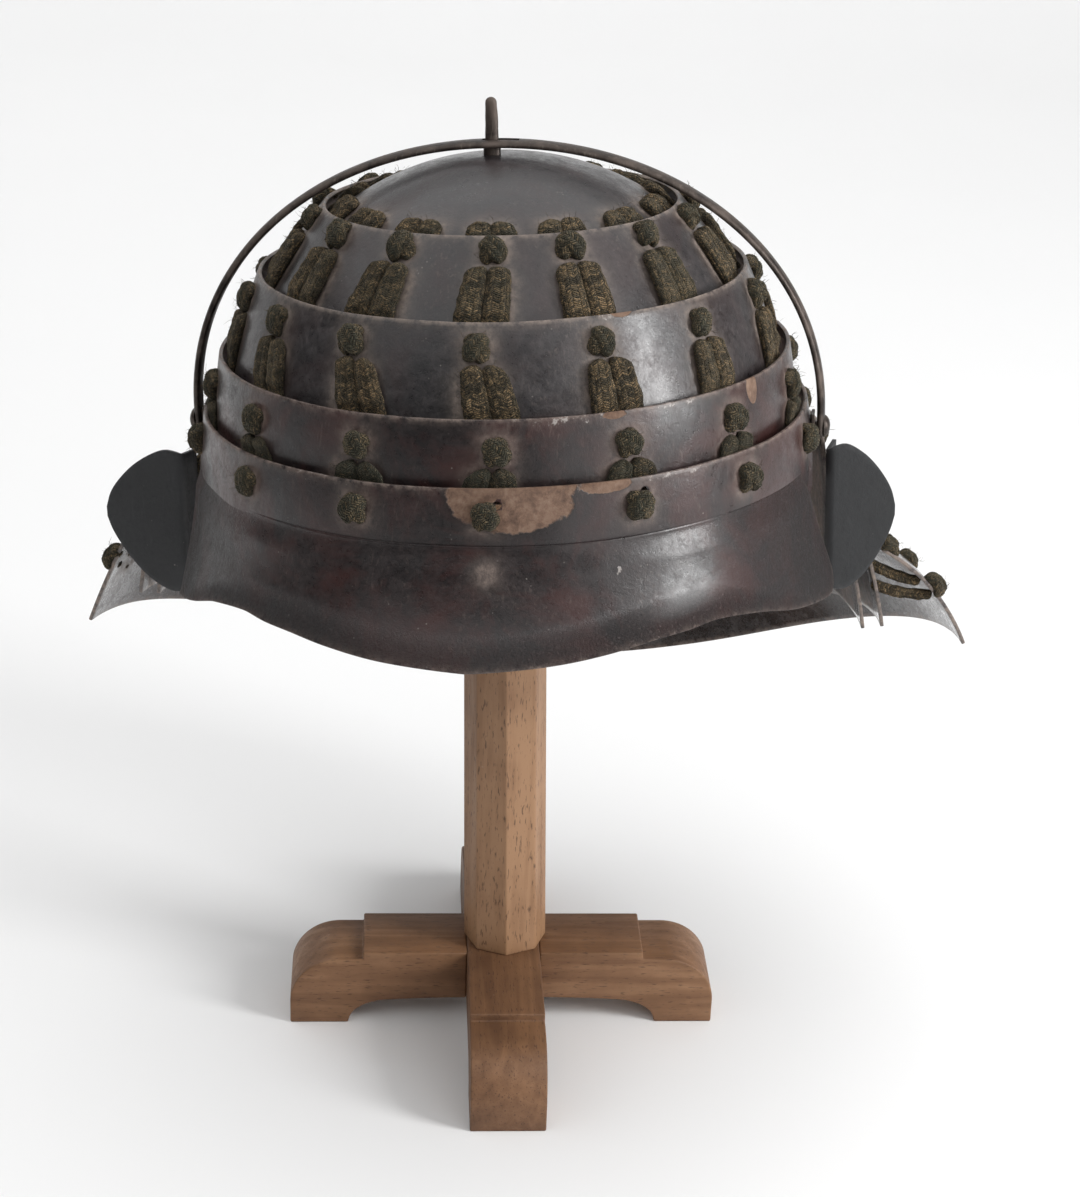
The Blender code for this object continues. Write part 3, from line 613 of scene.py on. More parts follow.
def curveValue(table, share, column=1):
    # smooth curve through a table whose first column rises
    last = len(table) - 1
    index = max(i for i in range(last) if share >= table[i][0] or i == 0)
    low, high = table[index], table[index + 1]
    before, after = table[max(index - 1, 0)], table[min(index + 2, last)]
    span = high[0] - low[0]
    part = min(max((share - low[0]) / span, 0), 1)
    slopeLow = (high[column] - before[column]) / max(high[0] - before[0], 1e-6) * span
    slopeHigh = (after[column] - low[column]) / max(after[0] - low[0], 1e-6) * span
    a, b = part * part * (3 - 2 * part), part * (1 - part)
    return (low[column] + (high[column] - low[column]) * a
            + b * ((1 - part) * slopeLow - part * slopeHigh))


# places of knots and pairs down each plate

lacing = {"cordWidth": 0.0096, "cordThick": 0.0041, "knot": 0.0098, "hidden": 0.005,
          "crownPair": 0.0155}
knotDrops = {"top_plate": None, "lame_2": 0.0062, "lame_3": 0.0092, "lame_4": 0.0112, "lame_5": 0.0097,
             "neck_lame_1": 0.0085, "neck_lame_2": 0.0105, "neck_lame_3": 0.0120, "neck_lame_4": 0.0190}
pairDrops = {"lame_2": 0.0128, "lame_3": 0.0155, "lame_4": 0.0175, "lame_5": None,
             "neck_lame_1": 0.0148, "neck_lame_2": 0.0168, "neck_lame_3": 0.0183}
# how far each visible column stands from its even place, in degrees, at its knot and at its pair
knotShift = {"lame_2": {2: 1.5, 28: -2, 54: -1}, "lame_3": {-49: -2, -23: -3.5, 2: -1.5, 28: -1, 54: -1, 80: 2},
             "lame_4": {-49: 1, -23: 2, 2: 2.5, 28: 1}, "lame_5": {-49: 3, -23: 3, 2: 0.5, 28: 1.5}}


def shiftOf(name, turn):
    for centre, shift in knotShift.get(name, {}).items():
        if abs(math.degrees(turn) - centre) < 4:
            return deg(shift)
    return 0.0


def turnBetween(turn, centre):
    return (turn - centre + math.pi) % (2 * math.pi) - math.pi


def outside(turn, drop, reach, spot):
    # distance outside a rounded patch: its turn, drop, half width and half height
    centre, height, wide, high = spot
    gap = turnBetween(turn, centre)
    corner = min(wide, high) * 0.6
    return math.hypot(max(abs(gap) * reach - wide + corner, 0), max(abs(drop - height) - high + corner, 0)) - corner


# how far each mark fades out, and where the peak's rough band begins at its sides
fade = {"edge": 0.0010, "halo": 0.0019, "chalk": 0.0012, "sideBegin": deg(40), "sideRun": deg(30)}


def paintSheet(piece, dropOf, spots, patches=(), chalky=(), pitted=0.0):
    # marks each point's wear: how strong each label is there
    values = {label: [] for label in wearLabels}
    for vertex in piece.data.vertices:
        turn = math.atan2(vertex.co.x, -vertex.co.y / helmet["oval"])
        drop, toEdge = dropOf(turn, vertex.co)
        reach = math.hypot(vertex.co.x, vertex.co.y)
        values["edge"].append(math.exp(-toEdge / fade["edge"]))
        for label, places in (("halo", spots), ("chalk", chalky)):
            near = min((outside(turn, drop, reach, spot) for spot in places), default=1)
            values[label].append(math.exp(-max(near, 0) / fade[label]))
        bare = 0.0
        for centre, height, wide, high in patches:
            gap = turnBetween(turn, centre)
            bare = max(bare, 1 - 0.5 * math.hypot(gap * reach / wide, (drop - height) / high))
        values["bare"].append(bare)
        rough = pitted and max(smoothStep(1.3 - toEdge / pitted),
                               smoothStep((abs(turn) - fade["sideBegin"]) / fade["sideRun"]))
        values["pit"].append(rough)
    for label, numbers in values.items():
        attribute = piece.data.attributes.new(label, "FLOAT", "POINT")
        attribute.data.foreach_set("value", numbers)


# half sizes of the dusty marks round a knot, round a pair and round a pair on the crown
marks = {"knot": (0.0056, 0.0052), "pair": 0.0086, "crown": (0.0088, 0.0085)}


def spotsOf(name):
    spots = []
    for turn in columnTurns:
        if name.startswith("neck") and abs(turn) < helmet["guardTurn"]:
            continue
        if knotDrops.get(name):
            spots.append((turn + shiftOf(name, turn), knotDrops[name], *marks["knot"]))
        if pairDrops.get(name):
            length = plateLength(plates[name], turn) - pairDrops[name]
            spots.append((turn + shiftOf(name, turn) / 2, pairDrops[name] + length / 2, marks["pair"],
                          length / 2))
        if name == "top_plate":
            spots.append((turn, plates[name]["arc"] - marks["crown"][1], *marks["crown"]))
    return spots


def dent(piece, depth, size, seed):
    # the slight unevenness of hammered plate
    for vertex in piece.data.vertices:
        spot = vertex.co / size + Vector((seed, 0, 0))
        away = Vector((vertex.co.x, vertex.co.y, 0)).normalized()
        vertex.co += away * noise.noise(spot) * depth
        vertex.co.z += noise.noise(spot * 0.7 + Vector((0, 9, 0))) * depth * 0.8


# the bowl's rings and crown

ringLook = {"around": 480, "rows": 22, "dent": 0.00035, "dentSize": 0.03, "domeCentre": -0.2, "hole": 0.0016}
finishes = {"top_plate": "lacquer_dark", "lame_2": "lacquer_dark", "lame_3": "lacquer_dark",
            "lame_4": "lacquer_brown", "lame_5": "lacquer_brown"}
# turn, drop, half width and half height of each patch of bare ground
barePatches = {"lame_5": [(deg(7.5), 0.0015, 0.0235, 0.0145), (deg(24), 0.001, 0.010, 0.003)],
               "lame_4": [(deg(61), 0.0035, 0.0035, 0.006), (deg(27), 0.001, 0.005, 0.0015)],
               "lame_3": [(deg(33), 0.0005, 0.005, 0.0012)]}
chalkPatches = {"lame_5": [(deg(38), 0.0008, 0.014, 0.0014), (deg(-30), 0.0004, 0.012, 0.0006)],
                "lame_4": [(deg(19), 0.0008, 0.022, 0.0016), (deg(40), 0.001, 0.008, 0.001)],
                "lame_3": [(deg(30), 0.0008, 0.010, 0.001)]}
bareHoles = [(deg(5.0), 0.0060), (deg(31.0), 0.0052)]


def makeRing(name, seed):
    plate = plates[name]
    isCrown = "arc" in plate
    length = plateLength(plate, 0)
    rows = ringLook["rows"] * (2 if isCrown else 1)
    wide, high = plateSection(plate, 0, length if isCrown else 0.0)
    deselect()
    bpy.ops.mesh.primitive_circle_add(vertices=ringLook["around"], radius=wide, location=(0, 0, high))
    piece = start(name.replace("lame", "ring").replace("top_plate", "crown"), lacquers[finishes[name]])
    editAll()
    for step in range(1, rows + 1):
        drop = length * (1 - step / rows) if isCrown else length * step / rows
        if isCrown and step == rows:
            drop = length / rows / 4
        nextWide, nextHigh = plateSection(plate, 0, drop)
        extrude(0, 0, nextHigh - high)
        resize((nextWide / wide, nextWide / wide, 1), (0, 0, nextHigh))
        wide, high = nextWide, nextHigh
    if isCrown:
        bpy.ops.mesh.edge_face_add()
        bpy.ops.mesh.poke()
    selectMesh()
    resize((1, helmet["oval"], 1))
    leaveEdit()
    settle()
    faceOut(piece, ringLook["domeCentre"] if isCrown else None)

    def dropOf(turn, spot):
        if isCrown:
            halfWidth = math.hypot(spot.x, spot.y / helmet["oval"])
            drop = plate["radius"] * math.asin(min(1, halfWidth / plate["radius"]))
            return drop, length - drop
        top, bottom = plateSection(plate, 0, 0)[1], plateSection(plate, 0, length)[1]
        drop = length * (top - spot.z) / (top - bottom)
        return drop, drop
    paintSheet(piece, dropOf, spotsOf(name), barePatches.get(name, ()), chalkPatches.get(name, ()))
    dent(piece, ringLook["dent"], ringLook["dentSize"], seed)
    addWall(piece)
    if name == "lame_5":
        for turn, drop in bareHoles:
            across, down, out = plateAxes(plate, turn, drop)
            deselect()
            bpy.ops.mesh.primitive_cylinder_add(vertices=20, radius=ringLook["hole"], depth=0.01)
            drill = bpy.context.object
            drill.matrix_world = Matrix.Translation(platePoint(plate, turn, drop)) @ out.to_track_quat(
                "Z", "Y").to_matrix().to_4x4()
            applyModifier(piece, "BOOLEAN", operation="DIFFERENCE", solver="EXACT", object=drill)
            bpy.data.objects.remove(drill)
    finishPiece(piece, name)


for number, ringName in enumerate(finishes):
    makeRing(ringName, number * 7.3)
say("bowl done")

# peak

peak = {"drop": 0.085, "turn": deg(88), "lap": 0.020, "flareSide": 0.0118, "flareFront": 0.0336, "curve": 1.6,
        "clear": 0.0003, "slant": 0.15, "sag": 0.045, "sagStart": 0.6, "crease": 0.010, "sunk": 0.0011,
        "sunkSide": 0.0018}
broadDent = (0.0004, 0.035)
# share of the half turn from the front, and share of the drop, along the lower edge
peakEdge = ((0.0, 0.706), (0.085, 0.694), (0.17, 0.682), (0.255, 0.664), (0.34, 0.645), (0.41, 0.639), (0.48, 0.632),
            (0.59, 0.67), (0.70, 0.735), (0.80, 0.785), (0.87, 0.82), (0.93, 0.842), (0.965, 0.838),
            (0.988, 0.815), (1.0, 0.775))


def peakFoot(share):
    sag = peak["sag"] * max(-share - peak["sagStart"], 0) / (1 - peak["sagStart"])
    return -peak["drop"] * (curveValue(peakEdge, abs(share)) + sag)


def peakPoint(u, v):
    share = math.sin(math.pi / 2 * (2 * u - 1)) * 0.35 + (2 * u - 1) * 0.65
    height = -peak["lap"] + (peakFoot(share) + peak["lap"]) * v
    turn = share * peak["turn"] * (1 - peak["slant"] * (1 - v))
    begin = plateSection(plates["lame_5"], 0, peak["lap"], peak["clear"] + helmet["wall"])[0]
    # the upper edge sinks into the lacquer, most at the sides
    sunk = peak["sunk"] + (peak["sunkSide"] - peak["sunk"]) * smoothStep((abs(turn) - 0.35) / 0.5)
    begin -= sunk * (1 - smoothStep((-peak["lap"] - height) / peak["crease"]))
    flare = peak["flareSide"] + (peak["flareFront"] - peak["flareSide"]) * math.cos(turn) ** 2
    depth = (-peak["lap"] - height) / (peak["drop"] - peak["lap"])
    return around(turn, begin + flare * depth ** peak["curve"], height)


def makePeak():
    gridPiece(380, 44, peakPoint)
    piece = start("peak_plate", lacquers["lacquer_brown"])
    faceOut(piece)

    def dropOf(turn, spot):
        share = turn / peak["turn"]
        for again in range(2):  # the share and the edge depend on each other
            edge = peakFoot(min(max(share, -1), 1))
            part = min((-peak["lap"] - spot.z) / (-peak["lap"] - edge), 1)
            share = turn / peak["turn"] / (1 - peak["slant"] * (1 - part))
        side = (1 - abs(share)) * peak["turn"] * 0.13
        return -peak["lap"] - spot.z, max(min(spot.z - edge, side), 0)
    paintSheet(piece, dropOf, [(deg(3), 0.009, 0.0026, 0.0026)], chalky=[(deg(25), 0.011, 0.0012, 0.0012)],
               pitted=0.010)
    dent(piece, *broadDent, 3.1)
    addWall(piece)
    finishPiece(piece, "peak")


makePeak()

# neck guard


def makeNeckPlate(name, seed):
    plate = plates[name]
    begin = helmet["guardTurn"]

    def place(u, v):
        turn = begin + (2 * math.pi - 2 * begin) * u
        turn = turn if turn <= math.pi else turn - 2 * math.pi
        return platePoint(plate, turn, plateLength(plate, turn) * v)
    gridPiece(190, 18, place)
    piece = start(name.replace("lame", "plate"), lacquers["lacquer_gloss"])
    faceOut(piece)

    def dropOf(turn, spot):
        length = plateLength(plate, turn)
        top, bottom = plateSection(plate, turn, 0), plateSection(plate, turn, length)
        halfWidth = math.hypot(spot.x, spot.y / helmet["oval"])
        drop = math.dist(top, (halfWidth, spot.z))
        return drop, min(drop, max(length - drop, 0), (abs(turn) - begin) * halfWidth)
    paintSheet(piece, dropOf, spotsOf(name))
    dent(piece, *broadDent, seed)
    addWall(piece)
    finishPiece(piece, name)


for number, neckName in enumerate(neckShapes):
    makeNeckPlate(neckName, 20 + number * 5.7)

# ears

ear = {"turn": deg(95), "height": 0.0584, "bend": 0.003, "sweep": deg(12), "rest": 0.009, "clear": 0.0003}
# share of the reach, then how far the upper and the lower edge lie down the height
earOutline = ((0.0, 0.04, 0.95), (0.13, 0.012, 0.99), (0.30, 0.0, 1.0), (0.50, 0.052, 0.94), (0.68, 0.13, 0.84),
              (0.85, 0.24, 0.70), (0.95, 0.335, 0.59), (1.0, 0.43, 0.50))
# side, reach, top and inset of each
ears = {"ear_left": (-1, 0.1622, 0.0246, -0.0015), "ear_right": (1, 0.1501, 0.0184, 0.0032)}


def earPath(reach, inset):
    origin = platePoint(plates["neck_lame_1"], ear["turn"], ear["height"] / 2)
    forward = Vector((math.cos(ear["turn"]), helmet["oval"] * math.sin(ear["turn"]), 0)).normalized()
    origin = origin - forward * ear["clear"]
    path = [origin - (forward * ear["rest"] + Vector((inset, 0, 0))) * step / 4 for step in range(5)]
    centre = path[-1] + Vector((ear["bend"], 0, 0))
    quarter = math.pi / 2 + ear["sweep"]
    path += [centre + ear["bend"] * Vector((math.cos(math.pi + quarter * step / 8),
                                            math.sin(math.pi + quarter * step / 8), 0)) for step in range(1, 9)]
    out = Vector((math.cos(ear["sweep"]), math.sin(ear["sweep"]), 0))
    run = (reach - path[-1].x) / out.x
    last = path[-1]
    path += [last + out * run * math.sin(math.pi / 2 * step / 26) for step in range(1, 27)]
    return path


def makeEar(name):
    side, reach, top, inset = ears[name]
    path = earPath(reach, inset)
    fold = min(spot.x for spot in path)

    def edgesAt(reached):
        share = (reached - fold) / (reach - fold)
        return [-top - ear["height"] * curveValue(earOutline, share, column) for column in (1, 2)]

    def place(u, v):
        spot = path[round(u * (len(path) - 1))]
        high, low = edgesAt(spot.x)
        return Vector((side * spot.x, spot.y, high + (low - high) * v))
    gridPiece(len(path) - 1, 24, place)
    piece = start(name.replace("ear", "turned_ear"), lacquers["lacquer_matt"])
    # the face that is seen from in front is the outer one
    if sum(face.normal.y for face in piece.data.polygons) > 0:
        editAll()
        bpy.ops.mesh.flip_normals()
        leaveEdit()

    def dropOf(turn, spot):
        high, low = edgesAt(abs(spot.x))
        return 0, max(min(high - spot.z, spot.z - low), 0)
    paintSheet(piece, dropOf, ())
    addWall(piece)
    finishPiece(piece, name)


for earName in ears:
    makeEar(earName)
say("plates done")

# lacing

tiny = 1e-7  # keeps a cord's closed ends apart from nothing
# columns and pitch of the strands, and how far they stand up
cordLook = {"column": 0.0015, "pitch": 0.0008, "relief": 0.00042, "uneven": 0.00050, "unevenSize": 0.0028}


def tube(points, sides, outs, wides, thicks, steps=20, relief=0.0):
    # a closed cord along points: half widths and half thicknesses at each, ends drawn to a point;
    # relief raises its plaited strands
    count = len(points) - 1
    lengths = [0.0]
    for before, after in zip(points, points[1:]):
        lengths.append(lengths[-1] + (after - before).length)
    columns = max(2 * round(math.pi * (max(wides) + max(thicks)) / cordLook["column"] / 2), 2)
    phase = dice.random()

    def place(u, v):
        index = round(v * count)
        angle = 2 * math.pi * u
        x, z = math.cos(angle), math.sin(angle)
        spot = (points[index] + sides[index] * wides[index] * math.copysign(abs(x) ** 0.85, x)
                + outs[index] * thicks[index] * math.copysign(abs(z) ** 0.85, z))
        if relief and thicks[index] > relief:
            column = u * columns
            odd = int(column) % 2
            lean = (2 * odd - 1) * (column % 1 - 0.5) * braidLook["lean"]
            strand = abs(math.sin(math.pi * (lengths[index] / cordLook["pitch"] + phase + lean + 0.5 * odd)))
            strand **= braidLook["swell"]
            groove = 1 - braidLook["groove"] * abs(2 * (column % 1) - 1) ** braidLook["grooveEdge"]
            away = (sides[index] * x / wides[index] + outs[index] * z / thicks[index]).normalized()
            spot += away * (relief * (strand * groove - 0.6)
                            + cordLook["uneven"] * noise.noise(spot / cordLook["unevenSize"]))
        return spot
    piece = gridPiece(steps, count, place)
    for loop in piece.data.uv_layers.active.data:
        loop.uv = (loop.uv.x * columns, lengths[round(loop.uv.y * count)] / cordLook["pitch"] + phase)
    editAll()
    bpy.ops.mesh.remove_doubles(threshold=1e-6)
    bpy.ops.mesh.normals_make_consistent(inside=False)
    leaveEdit()
    return piece


def roundEnd(part):
    # how full a rounded end is, a part of the way into it
    return math.sqrt(max(0.0, 1 - (1 - min(part, 1)) ** 2))


def rounded(share, tip):
    # how full a cord is along its length: round at both ends
    return roundEnd(min(share, 1 - share) / tip)


def greenOf(piece, value):
    attribute = piece.data.attributes.new("green", "FLOAT", "POINT")
    attribute.data.foreach_set("value", [value] * len(piece.data.vertices))


knotLook = {"size": 0.0100, "steps": 44, "around": 36, "thick": 0.0024, "dip": 0.0034, "under": 0.0010,
            "bow": 0.0006, "tilt": 14, "fuzz": 14, "fuzzReach": 0.0045, "fuzzLift": 0.0040}
# each template: angle, length and half width of the upper and of the lower cord, and the rise
knotShapes = [((-40, 0.0108, 0.0036), (48, 0.0112, 0.0031), 0.0027),
              ((-52, 0.0104, 0.0037), (30, 0.0108, 0.0032), 0.0025),
              ((-35, 0.0106, 0.0038), (66, 0.0106, 0.0030), 0.0027),
              ((-60, 0.0110, 0.0034), (42, 0.0110, 0.0033), 0.0026)]


def makeKnot(upper, lower, rise):
    # two short cords crossed, one over the other
    made = []
    for (angle, length, wide), lift, green in ((upper, rise, 0.32), (lower, rise - knotLook["under"], 0.18)):
        along = Vector((math.cos(deg(angle)), math.sin(deg(angle)), 0))
        count = knotLook["steps"]
        points, sides, outs, wides, thicks = [], [], [], [], []
        for step in range(count + 1):
            share = step / count
            out = 2 * share - 1
            bow = Vector((-along.y, along.x, 0)) * (knotLook["bow"] * (1 - out * out))
            points.append(along * out / 2 * length + bow + Vector((0, 0, lift - knotLook["dip"] * abs(out) ** 3)))
            sides.append(Vector((-along.y, along.x, 0)))
            outs.append((Vector((0, 0, 1)) + along * out * abs(out) * 1.2).normalized())
            full = rounded(share, 0.30)
            wides.append(wide * full + tiny)
            thicks.append(knotLook["thick"] * full + tiny)
        piece = tube(points, sides, outs, wides, thicks, knotLook["around"], cordLook["relief"])
        greenOf(piece, green)
        made.append(piece)
    only(made[0])
    made[1].select_set(True)
    bpy.ops.object.join()
    return bpy.context.object


knots = [makeKnot(*shape) for shape in knotShapes]


def makeFibre(bend):
    # one stray hair, rising from the origin
    points = [Vector((0.0016 * bend * share * share, 0.0003 * math.sin(4 * share), 0.0019 * share))
              for share in (0, 0.2, 0.4, 0.6, 0.8, 1)]
    steps = len(points)
    piece = tube(points, [Vector((1, 0, 0))] * steps, [Vector((0, 1, 0))] * steps,
                 [0.00006] * (steps - 1) + [1e-6], [0.00006] * (steps - 1) + [1e-6], 3)
    greenOf(piece, 0.0)
    return piece


fibres = [makeFibre(bend) for bend in (0.4, 1.0, 1.6)]


def copyOf(base, matrix, pieces):
    piece = bpy.data.objects.new(base.name, base.data.copy())
    bpy.context.collection.objects.link(piece)
    piece.data.transform(matrix)
    if matrix.to_3x3().determinant() < 0:
        piece.data.flip_normals()
    pieces.append(piece)


def placeFuzz(plate, turn, drop, wide, high, lift, amount, pieces):
    for each in range(amount):
        x, y = dice.uniform(-wide, wide), dice.uniform(-high, high)
        across, down, out = plateAxes(plate, turn, drop)
        tilt = out + across * (x / wide + dice.uniform(-0.5, 0.5)) + down * (y / high + dice.uniform(-0.5, 0.5))
        turned = tilt.to_track_quat("Z", "Y").to_matrix().to_4x4()
        spot = platePoint(plate, turn, drop) + across * x + down * y + out * lift * (1 - (x / wide) ** 4 * 0.6)
        copyOf(dice.choice(fibres), Matrix.Translation(spot) @ turned
               @ Matrix.Rotation(dice.uniform(0, 6.3), 4, "Z") @ Matrix.Scale(dice.uniform(0.6, 1.4), 4), pieces)


def placeKnot(plate, turn, drop, pieces):
    across, down, out = plateAxes(plate, turn, drop)
    size = lacing["knot"] / knotLook["size"] * dice.uniform(0.95, 1.08)
    flip = dice.choice((1, 1, -1))
    spin = Matrix.Rotation(deg(dice.uniform(-knotLook["tilt"], knotLook["tilt"])), 4, "Z")
    axes = Matrix((across, down * -1, out)).transposed().to_4x4()
    copyOf(dice.choice(knots), Matrix.Translation(platePoint(plate, turn, drop)) @ axes @ spin
           @ Matrix.Diagonal((size * flip, size, size, 1)), pieces)
    placeFuzz(plate, turn, drop, knotLook["fuzzReach"], knotLook["fuzzReach"], knotLook["fuzzLift"],
              knotLook["fuzz"], pieces)


def rimDrop(plate, following, turn):
    rim = plateSection(following, turn, 0)
    drops = [plateLength(plate, turn) * step / 120 for step in range(121)]
    return min(drops, key=lambda drop: math.dist(plateSection(plate, turn, drop), rim))


# a pair: where it starts above its holes, bends down, is tucked in and pressed flat and together
pairLook = {"early": 0.0008, "bend": 0.0038, "tuck": 0.005, "thinner": 0.38, "press": 0.00025, "spread": 0.0002,
            "uneven": 0.0004, "sunk": 0.0004, "around": 48, "fuzz": 22, "fuzzWide": 0.0085, "fuzzSunk": 0.0006}


def placePair(plate, turnTop, turnLow, begin, end, pieces, green=0.0):
    # two cords side by side, from their holes down and under the next rim
    hidden = end + lacing["hidden"]
    count = max(round((hidden - begin) / cordLook["pitch"] * 3.6), 24)
    for side in (-1, 1):
        jitter = dice.uniform(-pairLook["uneven"], pairLook["uneven"])
        points, sides, outs, wides, thicks = [], [], [], [], []
        for step in range(count + 1):
            share = step / count
            drop = begin - pairLook["early"] + (hidden - begin + pairLook["early"]) * share
            turn = turnTop + (turnLow - turnTop) * share
            across, down, out = plateAxes(plate, turn, min(drop, plateLength(plate, turn)))
            fromTop, toRim = drop - begin, end - drop
            full = roundEnd((fromTop + pairLook["early"]) / pairLook["bend"])
            tuck = smoothStep(1 - (toRim + 0.0005) / pairLook["tuck"])
            thick = lacing["cordThick"] * (1 - pairLook["thinner"] * tuck) * full
            wide = lacing["cordWidth"] * (0.86 + 0.18 * smoothStep(share * 1.4)) * (0.62 + 0.38 * full)
            apart = side * (wide / 2 - pairLook["press"] + (jitter + pairLook["spread"]) * share)
            last = 1 - smoothStep((share - 0.93) / 0.07)
            points.append(platePoint(plate, turn, drop, thick / 2 * 0.96 - pairLook["sunk"]) + across * apart)
            sides.append(across)
            outs.append(out)
            wides.append(wide / 2 * (full * last) + tiny)
            thicks.append(thick / 2 * last + tiny)
        cord = tube(points, sides, outs, wides, thicks, pairLook["around"], cordLook["relief"])
        greenOf(cord, green + dice.uniform(-0.15, 0.2))
        pieces.append(cord)
    visible = (end - begin) / 2
    placeFuzz(plate, turnTop, begin + visible, pairLook["fuzzWide"], max(visible, 0.002),
              lacing["cordThick"] - pairLook["fuzzSunk"], pairLook["fuzz"], pieces)


# what laces the ends of the two lowest neck plates: knots outside and, at the right, a pair of cords inside
endLacing = {1: {"turn": deg(96.4), "knots": (0.0265, 0.0015), "cords": ((0.0085, 0.0215), (0.0185, 0.0290))},
             -1: {"turn": deg(-96.4), "knots": (0.0157,), "cords": ()}}


def placeStrand(first, last, pieces):
    # a straight cord between two points
    along = (last - first).normalized()
    outward = Vector((0, -1, 0.4))
    outward = (outward - along * outward.dot(along)).normalized()
    count = round((last - first).length / cordLook["pitch"] * 3.6)
    half = lacing["cordThick"] / 2
    shares = [step / count for step in range(count + 1)]
    cord = tube([first.lerp(last, share) + Vector((0, 0, -0.0012 * math.sin(math.pi * share))) for share in shares],
                [along.cross(outward)] * (count + 1), [outward] * (count + 1),
                [half * 1.05 * rounded(share, 0.08) + tiny for share in shares],
                [half * rounded(share, 0.08) + tiny for share in shares], 36, cordLook["relief"])
    greenOf(cord, dice.uniform(-0.2, 0.1))
    pieces.append(cord)


def laceEnd(side, pieces):
    look, outer, inner = endLacing[side], plates["neck_lame_4"], plates["neck_lame_3"]
    for drop in look["knots"]:
        placeKnot(outer, look["turn"], drop, pieces)
    for above, below in look["cords"]:
        placeStrand(platePoint(inner, look["turn"], above, -0.002),
                    platePoint(outer, look["turn"], below, -0.0025), pieces)


def makeLacing(number, turn):
    rings = ["top_plate", "lame_2", "lame_3", "lame_4", "lame_5"]
    chain = rings + (list(neckShapes) if abs(turn) > helmet["guardTurn"] else [])
    pieces = []
    for index, name in enumerate(chain):
        plate = plates[name]
        following = chain[index + 1] if index + 1 < len(chain) else None
        here = turn + shiftOf(name, turn)
        if knotDrops[name]:
            placeKnot(plate, here, knotDrops[name], pieces)
        begin = plate["arc"] - lacing["crownPair"] if name == "top_plate" else pairDrops.get(name)
        if following and begin:
            end = rimDrop(plate, plates[following], turn)
            if end - begin > 0.001:
                there = turn + shiftOf(following, turn)
                first = turn if name == "top_plate" else here + (there - here) * 0.3
                placePair(plate, first, there, begin, end, pieces, 0.35 if name == "lame_4" else 0.0)
    if 0 < abs(turn) - helmet["guardTurn"] < deg(12):
        laceEnd(1 if turn > 0 else -1, pieces)
    deselect()
    for piece in pieces:
        piece.select_set(True)
    bpy.context.view_layer.objects.active = pieces[0]
    bpy.ops.object.join()
    piece = start(f"braid_{number:02d}", braid)
    finishPiece(piece, f"lacing_{number:02d}", smooth=60)


for number, turn in enumerate(columnTurns, 1):
    makeLacing(number, turn)
for base in knots + fibres:
    bpy.data.objects.remove(base)
say("lacing done")

# strap, its fastenings and the post

strap = {"halfSpan": 0.1203, "rise": 0.1013, "foot": 0.011, "centre": 0.005, "fullness": 0.97, "width": 0.0092,
         "thick": 0.0040, "eye": 0.0112, "eyeRun": 0.016, "slot": 0.014, "gap": 0.0036, "steps": 150,
         "footSteps": 9, "flat": 0.45}


def strapPoint(angle):
    across = math.copysign(abs(math.sin(angle)) ** strap["fullness"], angle)
    up = max(math.cos(angle), 0) ** strap["fullness"]
    return Vector((strap["halfSpan"] * across, 0, strap["rise"] * up - strap["centre"]))


def makeStrap():
    steps, last = strap["steps"], strap["footSteps"]
    points = [strapPoint(deg(90) * (2 * step / steps - 1)) for step in range(steps + 1)]
    feet = [Vector((side * strap["halfSpan"], 0, -strap["foot"] - strap["width"] * 0.55 * (1 - step / last)))
            for side in (-1, 1) for step in range(last)]
    points = feet[:last] + points + feet[last:][::-1]
    sides, outs, wides, thicks = [], [], [], []
    for index, point in enumerate(points):
        before, after = points[max(index - 1, 0)], points[min(index + 1, len(points) - 1)]
        along = (after - before).normalized()
        sides.append(Vector((0, 1, 0)))
        outs.append(Vector((-along.z, 0, along.x)))
        nearTop = math.exp(-(point.x / strap["eyeRun"]) ** 2) if point.z > 0 else 0
        full = roundEnd(min(index, len(points) - 1 - index) / last)
        wide = strap["width"] + (strap["eye"] - strap["width"]) * nearTop
        wides.append(wide / 2 * full + tiny)
        thicks.append(strap["thick"] / 2 * (0.6 + 0.4 * full))
    piece = tube(points, sides, outs, wides, thicks, 20)
    start("arch_strap", iron)
    # a half round bar: its inner side is flattened
    for vertex in piece.data.vertices:
        nearest = min(range(len(points)), key=lambda i: (points[i] - vertex.co).length_squared)
        depth = (vertex.co - points[nearest]).dot(outs[nearest])
        if depth < 0:
            vertex.co -= outs[nearest] * depth * strap["flat"]
    deselect()
    bpy.ops.mesh.primitive_cube_add(size=1, location=(0, 0, strap["rise"] - strap["centre"]))
    cutter = bpy.context.object
    cutter.scale = (strap["slot"], strap["gap"], 0.012)
    applyModifier(piece, "BOOLEAN", operation="DIFFERENCE", solver="EXACT", object=cutter)
    bpy.data.objects.remove(cutter)
    finishPiece(piece, "strap", smooth=50)


makeStrap()

# driven: how far the shank reaches into the bowl
fastening = {"bracket": 0.0095, "rivetHead": 0.0043, "rivetThick": 0.0024, "shank": 0.0016, "driven": 0.004}


